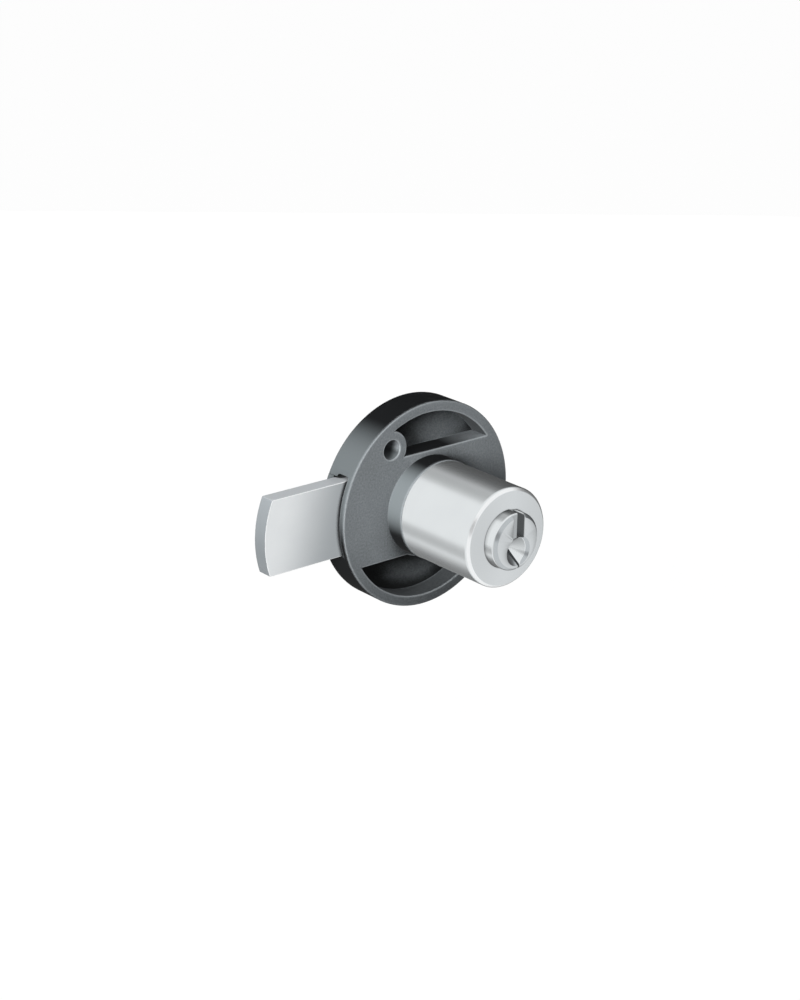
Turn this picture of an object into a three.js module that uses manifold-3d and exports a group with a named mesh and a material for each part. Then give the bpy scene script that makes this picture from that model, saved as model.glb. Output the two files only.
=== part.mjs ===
// A cylinder drawer lock. A round black case lies against the inside of the drawer front, a lock
// cylinder passes through the front, and one full turn of the key drives the bolt in or out.
// Millimetres, +Z up. The origin is on the cylinder's axis, in the plane where the case meets the
// drawer front. The key comes from -Y and the bolt points to -X, thrown out as it locks.
import * as THREE from "three";
import { mergeVertices } from "three/addons/utils/BufferGeometryUtils.js";
import Module from "manifold-3d";

const wasm = await Module();
wasm.setup();

// Case and cover
const caseRadius = 20;
const caseThickness = 6.8;
const caseEdge = 0.4;
const frontWall = 1.65;
const rimWall = 1.6;
const coverThickness = 1.6;
const coverPlay = 0.2;
const channelWall = 1.9;
const pocketWall = 2;
const pocketDepth = 4.2;
const pegRadius = 1.2;
const pegWall = 0.8;

// Holes for the two wood screws that hold the lock to the drawer front
const woodScrewAngle = THREE.MathUtils.degToRad(54.8);
const woodScrewHole = 1.9;
const woodScrewHead = 2.7;
const woodScrewBoss = 3.5;

// Bolt
const boltThrow = 16.3;
const boltWidth = 14.4;
const boltThickness = 3.2;
const boltOffset = 0.8;
const boltPlay = 0.1;
const shoulderHeight = 0.5;
const shoulderLength = 6;
const tailWidth = 11;
const stopGap = 0.2;

// Rack and pinion
const pinionTeeth = 8;
const pressureAngle = THREE.MathUtils.degToRad(30);
const addendum = 0.45;
const dedendum = 0.55;
const gearPlay = 0.12;
const slotPlay = 0.2;

// Cylinder sleeve and the collar that holds it
const sleeveRadius = 9.5;
const sleeveLength = 22;
const sleeveEdge = 0.6;
const collarLength = 3.85;
const collarStep = 0.15;
const spigotStep = 1.4;
const fitPlay = 0.05;
const rearWall = 2;
const clipRecessDepth = 1.4;

// Plug
const plugRadius = 5.45;
const plugProud = 2.7;
const plugEdge = 0.5;
const runningPlay = 0.05;
const endPlay = 0.1;
const neckRadius = 3.2;
const neckSetback = 0.3;
const keywayRight = 1.45;
const keywayWidth = 1.35;
const keywayHeight = 8;
const keywayMouth = 3.2;
const keywayRearWall = 1;
const keyStepWidth = 1.3;
const keyStepDepth = 0.6;
const pitRadius = 2.8;
const pitDepth = 4.4;
const pitAcross = 0.3;
const pitDrop = 1.7;

// Retaining clip on the plug's neck
const clipThickness = 0.45;
const clipWidth = 1.75;
const clipGrooveDepth = 0.8;
const clipMouth = 3.6;
const clipRecessPlay = 0.4;

// Drive between the plug and the pinion
const tongueThickness = 1.5;
const tongueLength = 2.1;
const tonguePlay = 0.05;
const rearJournalRadius = 2;

// Wafers and their springs
const waferCount = 5;
const waferThickness = 1;
const waferWidth = 6.6;
const waferPlay = 0.1;
const waferTravel = 0.7;
const waferWindowWidth = 2.4;
const waferWindowHeight = 6.8;
const waferStep = 0.3;
const waferStepShares = [0, 1, -1, 1, 0];
const frontLand = 2.4;
const rearLand = 4.5;
const earLength = 1.3;
const earHeight = 0.8;
const grooveDepth = 0.85;
const grooveLand = 1;
const springHeight = 2.2;
const springRadius = 0.4;
const springWire = 0.11;
const springTurns = 4;

// Screws
const sleeveScrewRadius = 0.95;
const sleeveScrewHead = 1.8;
const sleeveScrewReach = 2.8;
const coverScrewRadius = 1;
const coverScrewHead = 1.9;
const coverScrewLength = 3.6;
const screwWall = 0.7;
const driverSlotWidth = 0.45;
const driverSlotDepth = 0.5;
const screwPlay = 0.05;

// How far a cut runs past the face that it opens, and how finely round shapes are divided
const overrun = 0.5;
const largeRound = 80;
const middleRound = 48;
const smallRound = 20;
const flankSteps = 3;
const waferEndSteps = 8;
const coilSteps = 8;
const coilSides = 5;

// Places that follow from the sizes above
const caseBack = caseThickness;
const coverFront = caseBack - coverThickness;
const recessRadius = caseRadius - rimWall;
const coverRadius = recessRadius - coverPlay;
const channelRadius = recessRadius - boltPlay;
const pocketRadius = caseRadius - pocketWall;

const boltFront = frontWall + boltPlay;
const boltBack = boltFront + boltThickness;
const headTop = boltOffset + boltWidth / 2;
const headBottom = boltOffset - boltWidth / 2;
const shoulderTop = headTop + shoulderHeight;
const shoulderBottom = headBottom - shoulderHeight;
const channelTop = shoulderTop + stopGap;
const channelBottom = shoulderBottom - stopGap;
const tailTop = boltOffset + tailWidth / 2;
const tailBottom = boltOffset - tailWidth / 2;
const channelLeft = -Math.sqrt(channelRadius ** 2 - Math.max(channelTop, -channelBottom) ** 2);
const shoulderLeft = channelLeft + stopGap;
const shoulderRight = shoulderLeft + shoulderLength;
const channelStep = shoulderRight + boltThrow + stopGap;
const pocketTop = channelTop + channelWall;
const pocketBottom = channelBottom - channelWall;

const rackPitch = boltThrow / pinionTeeth;
const pitchRadius = boltThrow / (2 * Math.PI);
const baseRadius = pitchRadius * Math.cos(pressureAngle);
const tipRadius = pitchRadius + addendum;
const rootRadius = pitchRadius - dedendum;
const toothThickness = (rackPitch - gearPlay) / 2;
const rackTips = pitchRadius - addendum;
const rackRoots = pitchRadius + dedendum;
const slotRadius = tipRadius + slotPlay;
const tailRadius = channelRadius - stopGap / 2;

const collarRadius = sleeveRadius + collarStep;
const spigotRadius = sleeveRadius - spigotStep;
const sleeveFront = -sleeveLength;
const sleeveBore = plugRadius + runningPlay;
const neckBore = neckRadius + runningPlay;
const clipRadius = neckRadius - clipGrooveDepth + clipWidth;
const clipRecessRadius = clipRadius + clipRecessPlay;
const clipSeat = -clipRecessDepth;
const boreEnd = clipSeat - rearWall;
const sleeveScrewCircle = (clipRecessRadius + spigotRadius) / 2;

const plugFront = sleeveFront - plugProud;
const plugRear = boreEnd - endPlay;
const neckEnd = -neckSetback;
const clipGrooveFront = clipSeat;
const clipGrooveBack = clipGrooveFront + clipThickness + endPlay;
const clipGrooveRadius = neckRadius - clipGrooveDepth;
const keywayLeft = keywayRight - keywayWidth;
const keywayEnd = plugRear - keywayRearWall;
const tongueWidth = 2 * (clipGrooveRadius - endPlay);

const firstWafer = sleeveFront + frontLand;
const lastWafer = plugRear - rearLand;
const waferPitch = (lastWafer - firstWafer) / (waferCount - 1);
const waferRadius = plugRadius - waferPlay;
const waferSlot = waferThickness + waferPlay;
const grooveRadius = sleeveBore + grooveDepth;
const earEnd = waferWidth / 2 + earLength;
const springAcross = (waferWidth / 2 + earEnd + waferPlay) / 2;
const springPocket = 2 * (springRadius + springWire + waferPlay);

const coverScrewRise = tailWidth / 2 + stopGap + screwWall + coverScrewRadius;
const coverScrewPlaces = [coverScrewRise, -coverScrewRise].map((rise) => {
  const height = boltOffset + rise;
  const reach = coverRadius - coverScrewHead - coverPlay;
  return [Math.sqrt(reach ** 2 - height ** 2), height];
});
const pegPlaces = [1, -1].map((side) => {
  const height = ((side > 0 ? pocketTop : pocketBottom) + side * pocketRadius) / 2;
  const reach = coverRadius - pegRadius - pegWall;
  return [side * Math.sqrt(reach ** 2 - height ** 2), height];
});
const woodScrewPlaces = [1, -1].map((side) => {
  const reach = coverRadius - woodScrewHead - coverPlay;
  return [-side * reach * Math.cos(woodScrewAngle), side * reach * Math.sin(woodScrewAngle)];
});

// A closed three.js geometry as a solid that can be cut and joined.
function solid(geometry) {
  const bare = new THREE.BufferGeometry();
  bare.setAttribute("position", geometry.getAttribute("position"));
  if (geometry.index) bare.setIndex(geometry.index);
  const merged = mergeVertices(bare);
  return new wasm.Manifold(
    new wasm.Mesh({
      numProp: 3,
      vertProperties: merged.attributes.position.array,
      triVerts: new Uint32Array(merged.index.array),
    }),
  );
}

// A solid as a three.js geometry, with flat faces.
function surface(body) {
  const mesh = body.getMesh();
  const geometry = new THREE.BufferGeometry();
  geometry.setAttribute("position", new THREE.BufferAttribute(mesh.vertProperties, mesh.numProp));
  geometry.setIndex(new THREE.BufferAttribute(mesh.triVerts, 1));
  const flat = geometry.toNonIndexed();
  flat.computeVertexNormals();
  return flat;
}

// A flat outline in X and Z, given thickness between two places along Y.
function plate(shape, front, back, steps = smallRound) {
  const settings = { depth: back - front, bevelEnabled: false, curveSegments: steps };
  const geometry = new THREE.ExtrudeGeometry(shape, settings);
  geometry.rotateX(Math.PI / 2).translate(0, back, 0);
  return solid(geometry);
}

// A straight-sided block between two corners, each given as x, y, z.
function block(low, high) {
  const size = high.map((value, i) => value - low[i]);
  const centre = high.map((value, i) => (value + low[i]) / 2);
  const geometry = new THREE.BoxGeometry(...size);
  geometry.translate(...centre);
  return solid(geometry);
}

// A shape turned about an axis along Y, from a profile of [radius, place along Y] pairs that runs
// from the front to the back. A profile that is a ring closes on its first point.
function turned(profile, steps, across = 0, height = 0) {
  const points = profile.map(([radius, along]) => new THREE.Vector2(radius, along));
  const geometry = new THREE.LatheGeometry(points, steps);
  geometry.translate(across, 0, height);
  return solid(geometry);
}

// A round bar along Y.
function bar(radius, front, back, steps, across = 0, height = 0) {
  const profile = [[0, front], [radius, front], [radius, back], [0, back]];
  return turned(profile, steps, across, height);
}

const joined = (...bodies) => bodies.reduce((sum, body) => sum.add(body));
const cut = (body, ...tools) => tools.reduce((rest, tool) => rest.subtract(tool), body);

// One of the two hollows cast into the case's face: a segment of a disc, which the boss of the
// nearby wood screw closes at one end. Side is 1 above the bolt and -1 below it.
function pocket(side) {
  const reach = pocketRadius + overrun;
  const bottom = side > 0 ? pocketTop : -reach;
  const top = side > 0 ? reach : pocketBottom;
  const [holeAcross, holeHeight] = woodScrewPlaces[side > 0 ? 0 : 1];
  const segment = bar(pocketRadius, -overrun, pocketDepth, largeRound).intersect(
    block([-reach, -overrun, bottom], [reach, pocketDepth, top]),
  );
  const beyond = block(
    [side > 0 ? -reach : holeAcross, -2 * overrun, -reach],
    [side > 0 ? holeAcross : reach, pocketDepth + overrun, reach],
  );
  const boss = bar(
    woodScrewBoss, -2 * overrun, pocketDepth + overrun, middleRound, holeAcross, holeHeight,
  );
  return cut(segment, beyond, boss);
}

// The countersunk hole for a screw: its shank, then the cone that takes its head at the back.
function screwHole(shank, head, front, back, across, height) {
  const cone = head - shank;
  return turned(
    [[0, front], [shank, front], [shank, back - cone], [head, back], [head, back + overrun],
      [0, back + overrun]],
    smallRound, across, height,
  );
}

function caseBody() {
  const disc = turned(
    [[0, 0], [caseRadius - caseEdge, 0], [caseRadius, caseEdge],
      [caseRadius, caseBack - caseEdge], [caseRadius - caseEdge, caseBack], [0, caseBack]],
    largeRound,
  );
  const reach = caseRadius + overrun;
  const wideChannel = block(
    [channelLeft, frontWall, channelBottom], [channelStep, coverFront + overrun, channelTop],
  );
  const narrowChannel = block(
    [0, frontWall, tailBottom - stopGap], [reach, coverFront + overrun, tailTop + stopGap],
  );
  const channel = joined(wideChannel, narrowChannel).intersect(
    bar(channelRadius, 0, caseBack, largeRound),
  );
  const notch = block(
    [-reach, frontWall, headBottom - boltPlay],
    [channelLeft + overrun, caseBack + overrun, headTop + boltPlay],
  );
  const coverRecess = bar(recessRadius, coverFront, caseBack + overrun, largeRound);
  const collar = turned(
    [[0, -collarLength], [collarRadius - caseEdge, -collarLength],
      [collarRadius, caseEdge - collarLength], [collarRadius, frontWall / 2], [0, frontWall / 2]],
    largeRound,
  );
  const sleeveSeat = bar(
    spigotRadius + fitPlay, -collarLength - overrun, 0, middleRound,
  );
  const journalHole = bar(neckBore, -overrun, frontWall + overrun, middleRound);
  const woodScrewHoles = woodScrewPlaces.map(([across, height]) =>
    bar(woodScrewHole, -overrun, caseBack + overrun, smallRound, across, height),
  );
  const sleeveScrewHoles = [1, -1].map((side) =>
    screwHole(
      sleeveScrewRadius + screwPlay, sleeveScrewHead + screwPlay, -overrun, frontWall,
      side * sleeveScrewCircle, 0,
    ),
  );
  const coverScrewHoles = coverScrewPlaces.map(([across, height]) =>
    bar(
      coverScrewRadius + screwPlay, caseBack - coverScrewLength - stopGap, caseBack,
      smallRound, across, height,
    ),
  );
  const pegs = pegPlaces.map(([across, height]) =>
    bar(pegRadius, coverFront - overrun, caseBack, smallRound, across, height),
  );
  const hollow = cut(disc, channel, notch, coverRecess, pocket(1), pocket(-1));
  return cut(
    joined(hollow, collar, ...pegs),
    sleeveSeat, journalHole, ...woodScrewHoles, ...sleeveScrewHoles, ...coverScrewHoles,
  );
}

// The plate that closes the case from behind. Its tab fills the bolt's notch in the rim.
function backCover() {
  const disc = bar(coverRadius, coverFront, caseBack, largeRound);
  const tab = bar(caseRadius - boltPlay, coverFront, caseBack, largeRound).intersect(
    block(
      [-caseRadius, coverFront, headBottom], [channelLeft, caseBack, headTop],
    ),
  );
  const journalHole = bar(
    rearJournalRadius + runningPlay, coverFront - overrun, caseBack + overrun, middleRound,
  );
  const woodScrewHoles = woodScrewPlaces.map(([across, height]) =>
    screwHole(woodScrewHole, woodScrewHead, coverFront - overrun, caseBack, across, height),
  );
  const screwHoles = coverScrewPlaces.map(([across, height]) =>
    screwHole(
      coverScrewRadius + screwPlay, coverScrewHead + screwPlay, coverFront - overrun, caseBack,
      across, height,
    ),
  );
  const pegHoles = pegPlaces.map(([across, height]) =>
    bar(
      pegRadius + fitPlay, coverFront - overrun, caseBack + overrun, smallRound, across, height,
    ),
  );
  return cut(joined(disc, tab), journalHole, ...woodScrewHoles, ...screwHoles, ...pegHoles);
}

// A countersunk screw along Y with its head's flat face at the origin and its tip at -length.
function screw(shank, head, length) {
  const body = turned(
    [[0, -length], [shank, -length], [shank, shank - head], [head, 0], [0, 0]],
    smallRound,
  );
  const slot = block(
    [-head - overrun, -driverSlotDepth, -driverSlotWidth / 2],
    [head + overrun, overrun, driverSlotWidth / 2],
  );
  return cut(body, slot);
}

// The silver tube of the lock cylinder. Its bore carries the plug, its rear wall takes the neck and
// the clip behind it, and two long grooves take the wafers when there is no key.
function cylinderSleeve() {
  const tube = turned(
    [[sleeveBore, sleeveFront], [sleeveRadius - sleeveEdge, sleeveFront],
      [sleeveRadius, sleeveFront + sleeveEdge], [sleeveRadius, -collarLength],
      [spigotRadius, -collarLength], [spigotRadius, 0], [clipRecessRadius, 0],
      [clipRecessRadius, clipSeat], [neckBore, clipSeat], [neckBore, boreEnd],
      [sleeveBore, boreEnd], [sleeveBore, sleeveFront]],
    middleRound,
  );
  const halfGroove = waferWidth / 2 + waferPlay;
  const grooveFront = sleeveFront + grooveLand;
  const grooveBack = lastWafer + waferSlot + grooveLand;
  const grooves = bar(grooveRadius, grooveFront, grooveBack, middleRound).intersect(
    block(
      [-halfGroove, grooveFront, -grooveRadius], [halfGroove, grooveBack, grooveRadius],
    ),
  );
  const screwHoles = [1, -1].map((side) =>
    bar(
      sleeveScrewRadius + screwPlay, -sleeveScrewReach - stopGap, overrun, smallRound,
      side * sleeveScrewCircle, 0,
    ),
  );
  return cut(tube, grooves, ...screwHoles);
}

const waferPlaces = Array.from({ length: waferCount }, (_, i) => firstWafer + i * waferPitch);

// The plug that the key turns: keyway, centring pit, a slot and a spring pocket for each wafer,
// and a neck at the back with the clip's groove and the slot for the pinion's tongue.
function plugBody() {
  const body = turned(
    [[0, plugFront], [plugRadius - plugEdge, plugFront], [plugRadius, plugFront + plugEdge],
      [plugRadius, plugRear], [neckRadius, plugRear], [neckRadius, clipGrooveFront],
      [clipGrooveRadius, clipGrooveFront], [clipGrooveRadius, clipGrooveBack],
      [neckRadius, clipGrooveBack], [neckRadius, neckEnd], [0, neckEnd]],
    middleRound,
  );
  const reach = plugRadius + overrun;
  const keyway = block(
    [keywayLeft, plugFront - overrun, -keywayHeight / 2],
    [keywayRight, keywayEnd, keywayHeight / 2],
  );
  const mouth = block(
    [keywayLeft, plugFront - overrun, -reach], [keywayRight, plugFront + keywayMouth, reach],
  );
  const step = block(
    [keywayLeft - keyStepWidth, plugFront - overrun, -pitDrop],
    [keywayRight, plugFront + keyStepDepth, reach],
  );
  const pitSlope = pitRadius / pitDepth;
  const pit = turned(
    [[0, plugFront - overrun], [pitRadius + overrun * pitSlope, plugFront - overrun],
      [0, plugFront + pitDepth]],
    middleRound, pitAcross, -pitDrop,
  );
  const halfSlot = waferWidth / 2 + waferPlay;
  const waferSlots = waferPlaces.map((along) =>
    block(
      [-halfSlot, along - waferSlot / 2, -reach], [halfSlot, along + waferSlot / 2, reach],
    ),
  );
  const springPockets = waferPlaces.map((along) =>
    block(
      [0, along - springPocket / 2, -springHeight],
      [earEnd + waferPlay, along + springPocket / 2, earHeight + waferTravel + waferPlay],
    ),
  );
  const tongueSlot = block(
    [-reach, -tongueLength - endPlay, -tongueThickness / 2 - tonguePlay],
    [reach, overrun, tongueThickness / 2 + tonguePlay],
  );
  return cut(body, keyway, mouth, step, pit, ...waferSlots, ...springPockets, tongueSlot);
}

// A wafer about the origin, its ends rounded to the plug's radius. The window's place differs from
// wafer to wafer as the key's cuts do, and the ear at its side stands on the spring.
function wafer(windowRise) {
  const half = waferWidth / 2;
  const corner = Math.asin(half / waferRadius);
  const outline = new THREE.Shape();
  outline.absarc(0, 0, waferRadius, Math.PI / 2 + corner, Math.PI / 2 - corner, true);
  outline.lineTo(half, earHeight);
  outline.lineTo(earEnd, earHeight);
  outline.lineTo(earEnd, 0);
  outline.lineTo(half, 0);
  outline.absarc(0, 0, waferRadius, corner - Math.PI / 2, -corner - Math.PI / 2, true);
  outline.closePath();
  const middle = (keywayLeft + keywayRight) / 2;
  const left = middle - waferWindowWidth / 2;
  const right = middle + waferWindowWidth / 2;
  const bottom = windowRise - waferWindowHeight / 2;
  const top = windowRise + waferWindowHeight / 2;
  const window = new THREE.Path();
  window.moveTo(left, bottom);
  window.lineTo(right, bottom);
  window.lineTo(right, top);
  window.lineTo(left, top);
  window.closePath();
  outline.holes.push(window);
  return plate(outline, -waferThickness / 2, waferThickness / 2, waferEndSteps);
}

class Coil extends THREE.Curve {
  getPoint(share, target = new THREE.Vector3()) {
    const angle = share * springTurns * 2 * Math.PI;
    const height = springHeight - 2 * (springWire + endPlay / 2);
    return target.set(
      springRadius * Math.cos(angle),
      springRadius * Math.sin(angle),
      share * height - springHeight + springWire + endPlay / 2,
    );
  }
}

// The wafer's coil spring, one unbroken wire from the floor of its pocket up to the ear.
function waferSpring() {
  const section = new THREE.Shape();
  for (let i = 0; i < coilSides; i++) {
    const angle = (i / coilSides) * 2 * Math.PI;
    const place = [springWire * Math.cos(angle), springWire * Math.sin(angle)];
    if (i) section.lineTo(...place);
    else section.moveTo(...place);
  }
  section.closePath();
  const settings = { steps: coilSteps * springTurns, extrudePath: new Coil() };
  return solid(new THREE.ExtrudeGeometry(section, settings));
}

// The spring clip that keeps the plug in the sleeve, open on one side to snap over the neck.
function retainingClip() {
  const inner = clipGrooveRadius + fitPlay;
  const front = clipSeat + endPlay / 2;
  const back = front + clipThickness;
  const ring = turned(
    [[inner, front], [clipRadius, front], [clipRadius, back], [inner, back], [inner, front]],
    middleRound,
  );
  const mouth = block(
    [-clipMouth / 2, front - overrun, -clipRadius - overrun],
    [clipMouth / 2, back + overrun, 0],
  );
  return cut(ring, mouth);
}

const involute = (angle) => Math.tan(angle) - angle;

// Half the angle that a pinion tooth takes up at a radius. Below the base circle it stays radial.
function toothHalfAngle(radius) {
  const pressure = Math.acos(baseRadius / Math.max(radius, baseRadius));
  const atPitch = toothThickness / (2 * pitchRadius);
  return atPitch + involute(pressureAngle) - involute(pressure);
}

function pinionOutline() {
  const radii = [rootRadius];
  for (let i = 0; i <= flankSteps; i++) {
    radii.push(baseRadius + (i / flankSteps) * (tipRadius - baseRadius));
  }
  const points = [];
  const place = (radius, angle) =>
    points.push(new THREE.Vector2(radius * Math.cos(angle), radius * Math.sin(angle)));
  for (let tooth = 0; tooth < pinionTeeth; tooth++) {
    const middle = Math.PI / 2 + (tooth / pinionTeeth) * 2 * Math.PI;
    radii.forEach((radius) => place(radius, middle - toothHalfAngle(radius)));
    radii.reverse().forEach((radius) => place(radius, middle + toothHalfAngle(radius)));
    radii.reverse();
  }
  return new THREE.Shape(points);
}

// The pinion that drives the bolt. Its tongue sits in the plug's neck, one journal runs in the
// case's front wall and the other in the cover.
function drivePinion() {
  const journalRadius = neckRadius;
  const front = endPlay / 2;
  const tongue = block(
    [-tongueWidth / 2, -tongueLength, -tongueThickness / 2],
    [tongueWidth / 2, frontWall, tongueThickness / 2],
  );
  const journal = bar(journalRadius, front, frontWall, middleRound);
  const core = bar(rootRadius, frontWall / 2, boltBack, smallRound);
  const teeth = plate(pinionOutline(), boltFront, boltBack);
  const rearJournal = bar(
    rearJournalRadius, boltBack - boltPlay, caseBack - stopGap, middleRound,
  );
  return joined(tongue, journal, core, teeth, rearJournal);
}

function rackTooth(middle) {
  const slope = Math.tan(pressureAngle);
  const tipHalf = toothThickness / 2 - addendum * slope;
  const rootHalf = toothThickness / 2 + dedendum * slope;
  const outline = new THREE.Shape();
  outline.moveTo(middle - tipHalf, rackTips);
  outline.lineTo(middle + tipHalf, rackTips);
  outline.lineTo(middle + rootHalf, rackRoots);
  outline.lineTo(middle + rootHalf, rackRoots + addendum);
  outline.lineTo(middle - rootHalf, rackRoots + addendum);
  outline.lineTo(middle - rootHalf, rackRoots);
  outline.closePath();
  return plate(outline, boltFront, boltBack);
}

// The flat bolt: its head slides through the case's notch, its shoulders stop it at both ends, and
// the slot between its tail's arms holds the rack.
function boltBody() {
  const end = caseRadius + boltThrow;
  const endDisc = bar(caseRadius, boltFront, boltBack, largeRound, -boltThrow);
  const tailDisc = bar(tailRadius, boltFront, boltBack, largeRound, -boltThrow);
  const head = block([-end, boltFront, headBottom], [shoulderLeft + overrun, boltBack, headTop]);
  const shoulders = block(
    [shoulderLeft, boltFront, shoulderBottom], [shoulderRight, boltBack, shoulderTop],
  );
  const tail = block(
    [shoulderRight - overrun, boltFront, tailBottom], [tailRadius, boltBack, tailTop],
  );
  const slot = joined(
    block(
      [-boltThrow, boltFront - overrun, -slotRadius],
      [tailRadius + overrun, boltBack + overrun, rackRoots],
    ),
    bar(slotRadius, boltFront - overrun, boltBack + overrun, middleRound, -boltThrow),
  );
  const plain = cut(joined(head.intersect(endDisc), shoulders, tail.intersect(tailDisc)), slot);
  const teeth = Array.from({ length: pinionTeeth + 2 }, (_, i) =>
    rackTooth((1 / 2 - i) * rackPitch).intersect(tailDisc),
  );
  return joined(plain, ...teeth);
}

const blackZinc = new THREE.MeshStandardMaterial({
  color: 0x2d3133, roughness: 0.5, metalness: 0.4,
});
const satinNickel = new THREE.MeshStandardMaterial({
  color: 0xc3c8ca, roughness: 0.3, metalness: 1,
});
const platedSteel = new THREE.MeshStandardMaterial({
  color: 0xb4babd, roughness: 0.35, metalness: 1,
});
const yellowBrass = new THREE.MeshStandardMaterial({
  color: 0xb5944f, roughness: 0.35, metalness: 1,
});
const springSteel = new THREE.MeshStandardMaterial({
  color: 0x8d9295, roughness: 0.4, metalness: 1,
});

function piece(name, body, material, place = [0, 0, 0]) {
  const mesh = new THREE.Mesh(surface(body), material);
  mesh.name = name;
  mesh.position.set(...place);
  return mesh;
}

// The case with its cover and their screws
const caseGroup = new THREE.Group();
caseGroup.add(piece("case", caseBody(), blackZinc), piece("back_cover", backCover(), blackZinc));
coverScrewPlaces.forEach(([across, height], i) => {
  const body = screw(coverScrewRadius, coverScrewHead, coverScrewLength);
  caseGroup.add(piece(`cover_screw_${i + 1}`, body, platedSteel, [across, caseBack, height]));
});

// The lock cylinder, fixed to the case by two screws from inside
const cylinderGroup = new THREE.Group();
cylinderGroup.add(piece("cylinder_sleeve", cylinderSleeve(), satinNickel));
[1, -1].forEach((side, i) => {
  const body = screw(sleeveScrewRadius, sleeveScrewHead, frontWall + sleeveScrewReach);
  const place = [side * sleeveScrewCircle, frontWall, 0];
  cylinderGroup.add(piece(`sleeve_screw_${i + 1}`, body, platedSteel, place));
});

// What turns with the key
const plugGroup = new THREE.Group();
plugGroup.add(
  piece("plug", plugBody(), satinNickel),
  piece("retaining_clip", retainingClip(), springSteel),
  piece("drive_pinion", drivePinion(), platedSteel),
);
waferPlaces.forEach((along, i) => {
  const rise = waferStep * waferStepShares[i % waferStepShares.length];
  plugGroup.add(
    piece(`wafer_${i + 1}`, wafer(rise), yellowBrass, [0, along, 0]),
    piece(`wafer_spring_${i + 1}`, waferSpring(), springSteel, [springAcross, along, 0]),
  );
});

const drawerLock = new THREE.Group();
drawerLock.add(caseGroup, cylinderGroup, plugGroup, piece("bolt", boltBody(), platedSteel));

export default drawerLock;
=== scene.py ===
import math

import bmesh
import bpy
from mathutils import Matrix, Vector


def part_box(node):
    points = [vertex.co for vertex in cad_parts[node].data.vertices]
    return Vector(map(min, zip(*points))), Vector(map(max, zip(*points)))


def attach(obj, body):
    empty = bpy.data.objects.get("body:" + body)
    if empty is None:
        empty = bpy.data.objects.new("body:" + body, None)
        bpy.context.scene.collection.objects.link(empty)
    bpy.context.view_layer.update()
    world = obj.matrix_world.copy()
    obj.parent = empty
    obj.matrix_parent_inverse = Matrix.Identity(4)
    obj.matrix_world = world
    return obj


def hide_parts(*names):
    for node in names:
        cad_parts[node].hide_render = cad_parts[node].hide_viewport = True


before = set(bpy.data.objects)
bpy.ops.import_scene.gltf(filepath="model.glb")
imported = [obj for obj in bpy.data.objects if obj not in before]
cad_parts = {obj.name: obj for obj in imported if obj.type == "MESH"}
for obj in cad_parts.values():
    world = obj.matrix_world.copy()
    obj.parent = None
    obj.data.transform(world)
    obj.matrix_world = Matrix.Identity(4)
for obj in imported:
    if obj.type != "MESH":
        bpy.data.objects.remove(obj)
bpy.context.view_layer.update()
print("frame loaded:", len(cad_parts), "nodes")

# The sizes below are in millimetres, and a finished piece is brought to metres
mm = 0.001
weld = 0.0004  # corners closer than this are one
near = 0.004  # how closely a place has to be met
overrun = 0.5  # how far a cutter stands out of what it cuts
crumb = 0.05  # an edge shorter than this is closed up before a bevel
fullTurn = 2 * math.pi
sharpAngle = math.radians(30)
flatAngle = math.radians(2)
uprightToAlong = Matrix.Rotation(math.pi / 2, 3, "X")
quarterTurn = Matrix.Rotation(math.pi / 2, 3, "Z")

scene = bpy.context.scene
scene.view_settings.view_transform = "Standard"


# Camera at the photo's angle, and the white studio round the lock

cameraLook = {
    "azimuth": math.radians(-40.57),
    "elevation": math.radians(21.52),
    "distance": 404 * mm,
    "lens": 77.94,
    "shiftAcross": -0.0275,
    "shiftUp": 0.0043,
    "clipStart": 10 * mm,
    # The lock in the photo is turned a little about its cylinder, so the camera goes round it
    "turn": math.radians(1.61),
}


def makeCamera(look):
    camera = bpy.data.objects.new("photoCamera", bpy.data.cameras.new("photoCamera"))
    scene.collection.objects.link(camera)
    flat = math.cos(look["elevation"])
    back = Vector((
        math.sin(look["azimuth"]) * flat,
        -math.cos(look["azimuth"]) * flat,
        math.sin(look["elevation"]),
    ))
    facing = (-back).to_track_quat("-Z", "Y").to_matrix().to_4x4()
    placed = Matrix.Translation(back * look["distance"]) @ facing
    camera.matrix_world = Matrix.Rotation(-look["turn"], 4, "Y") @ placed
    camera.data.lens = look["lens"]
    camera.data.shift_x = look["shiftAcross"]
    camera.data.shift_y = look["shiftUp"]
    camera.data.clip_start = look["clipStart"]
    scene.camera = camera


makeCamera(cameraLook)


def toLinear(code):
    # An sRGB hex colour as the linear colour that the shaders take
    shares = [int(code[i:i + 2], 16) / 255 for i in (1, 3, 5)]
    linear = [c / 12.92 if c <= 0.04045 else ((c + 0.055) / 1.055) ** 2.4 for c in shares]
    return (*linear, 1)


def addNode(tree, kind, inputs=None, **settings):
    # One node with its settings. An input is a value, or the output that it is linked to
    node = tree.nodes.new(kind)
    for name, value in settings.items():
        setattr(node, name, value)
    for key, value in (inputs or {}).items():
        if isinstance(value, bpy.types.NodeSocket):
            tree.links.new(value, node.inputs[key])
        else:
            node.inputs[key].default_value = value
    return node


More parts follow.
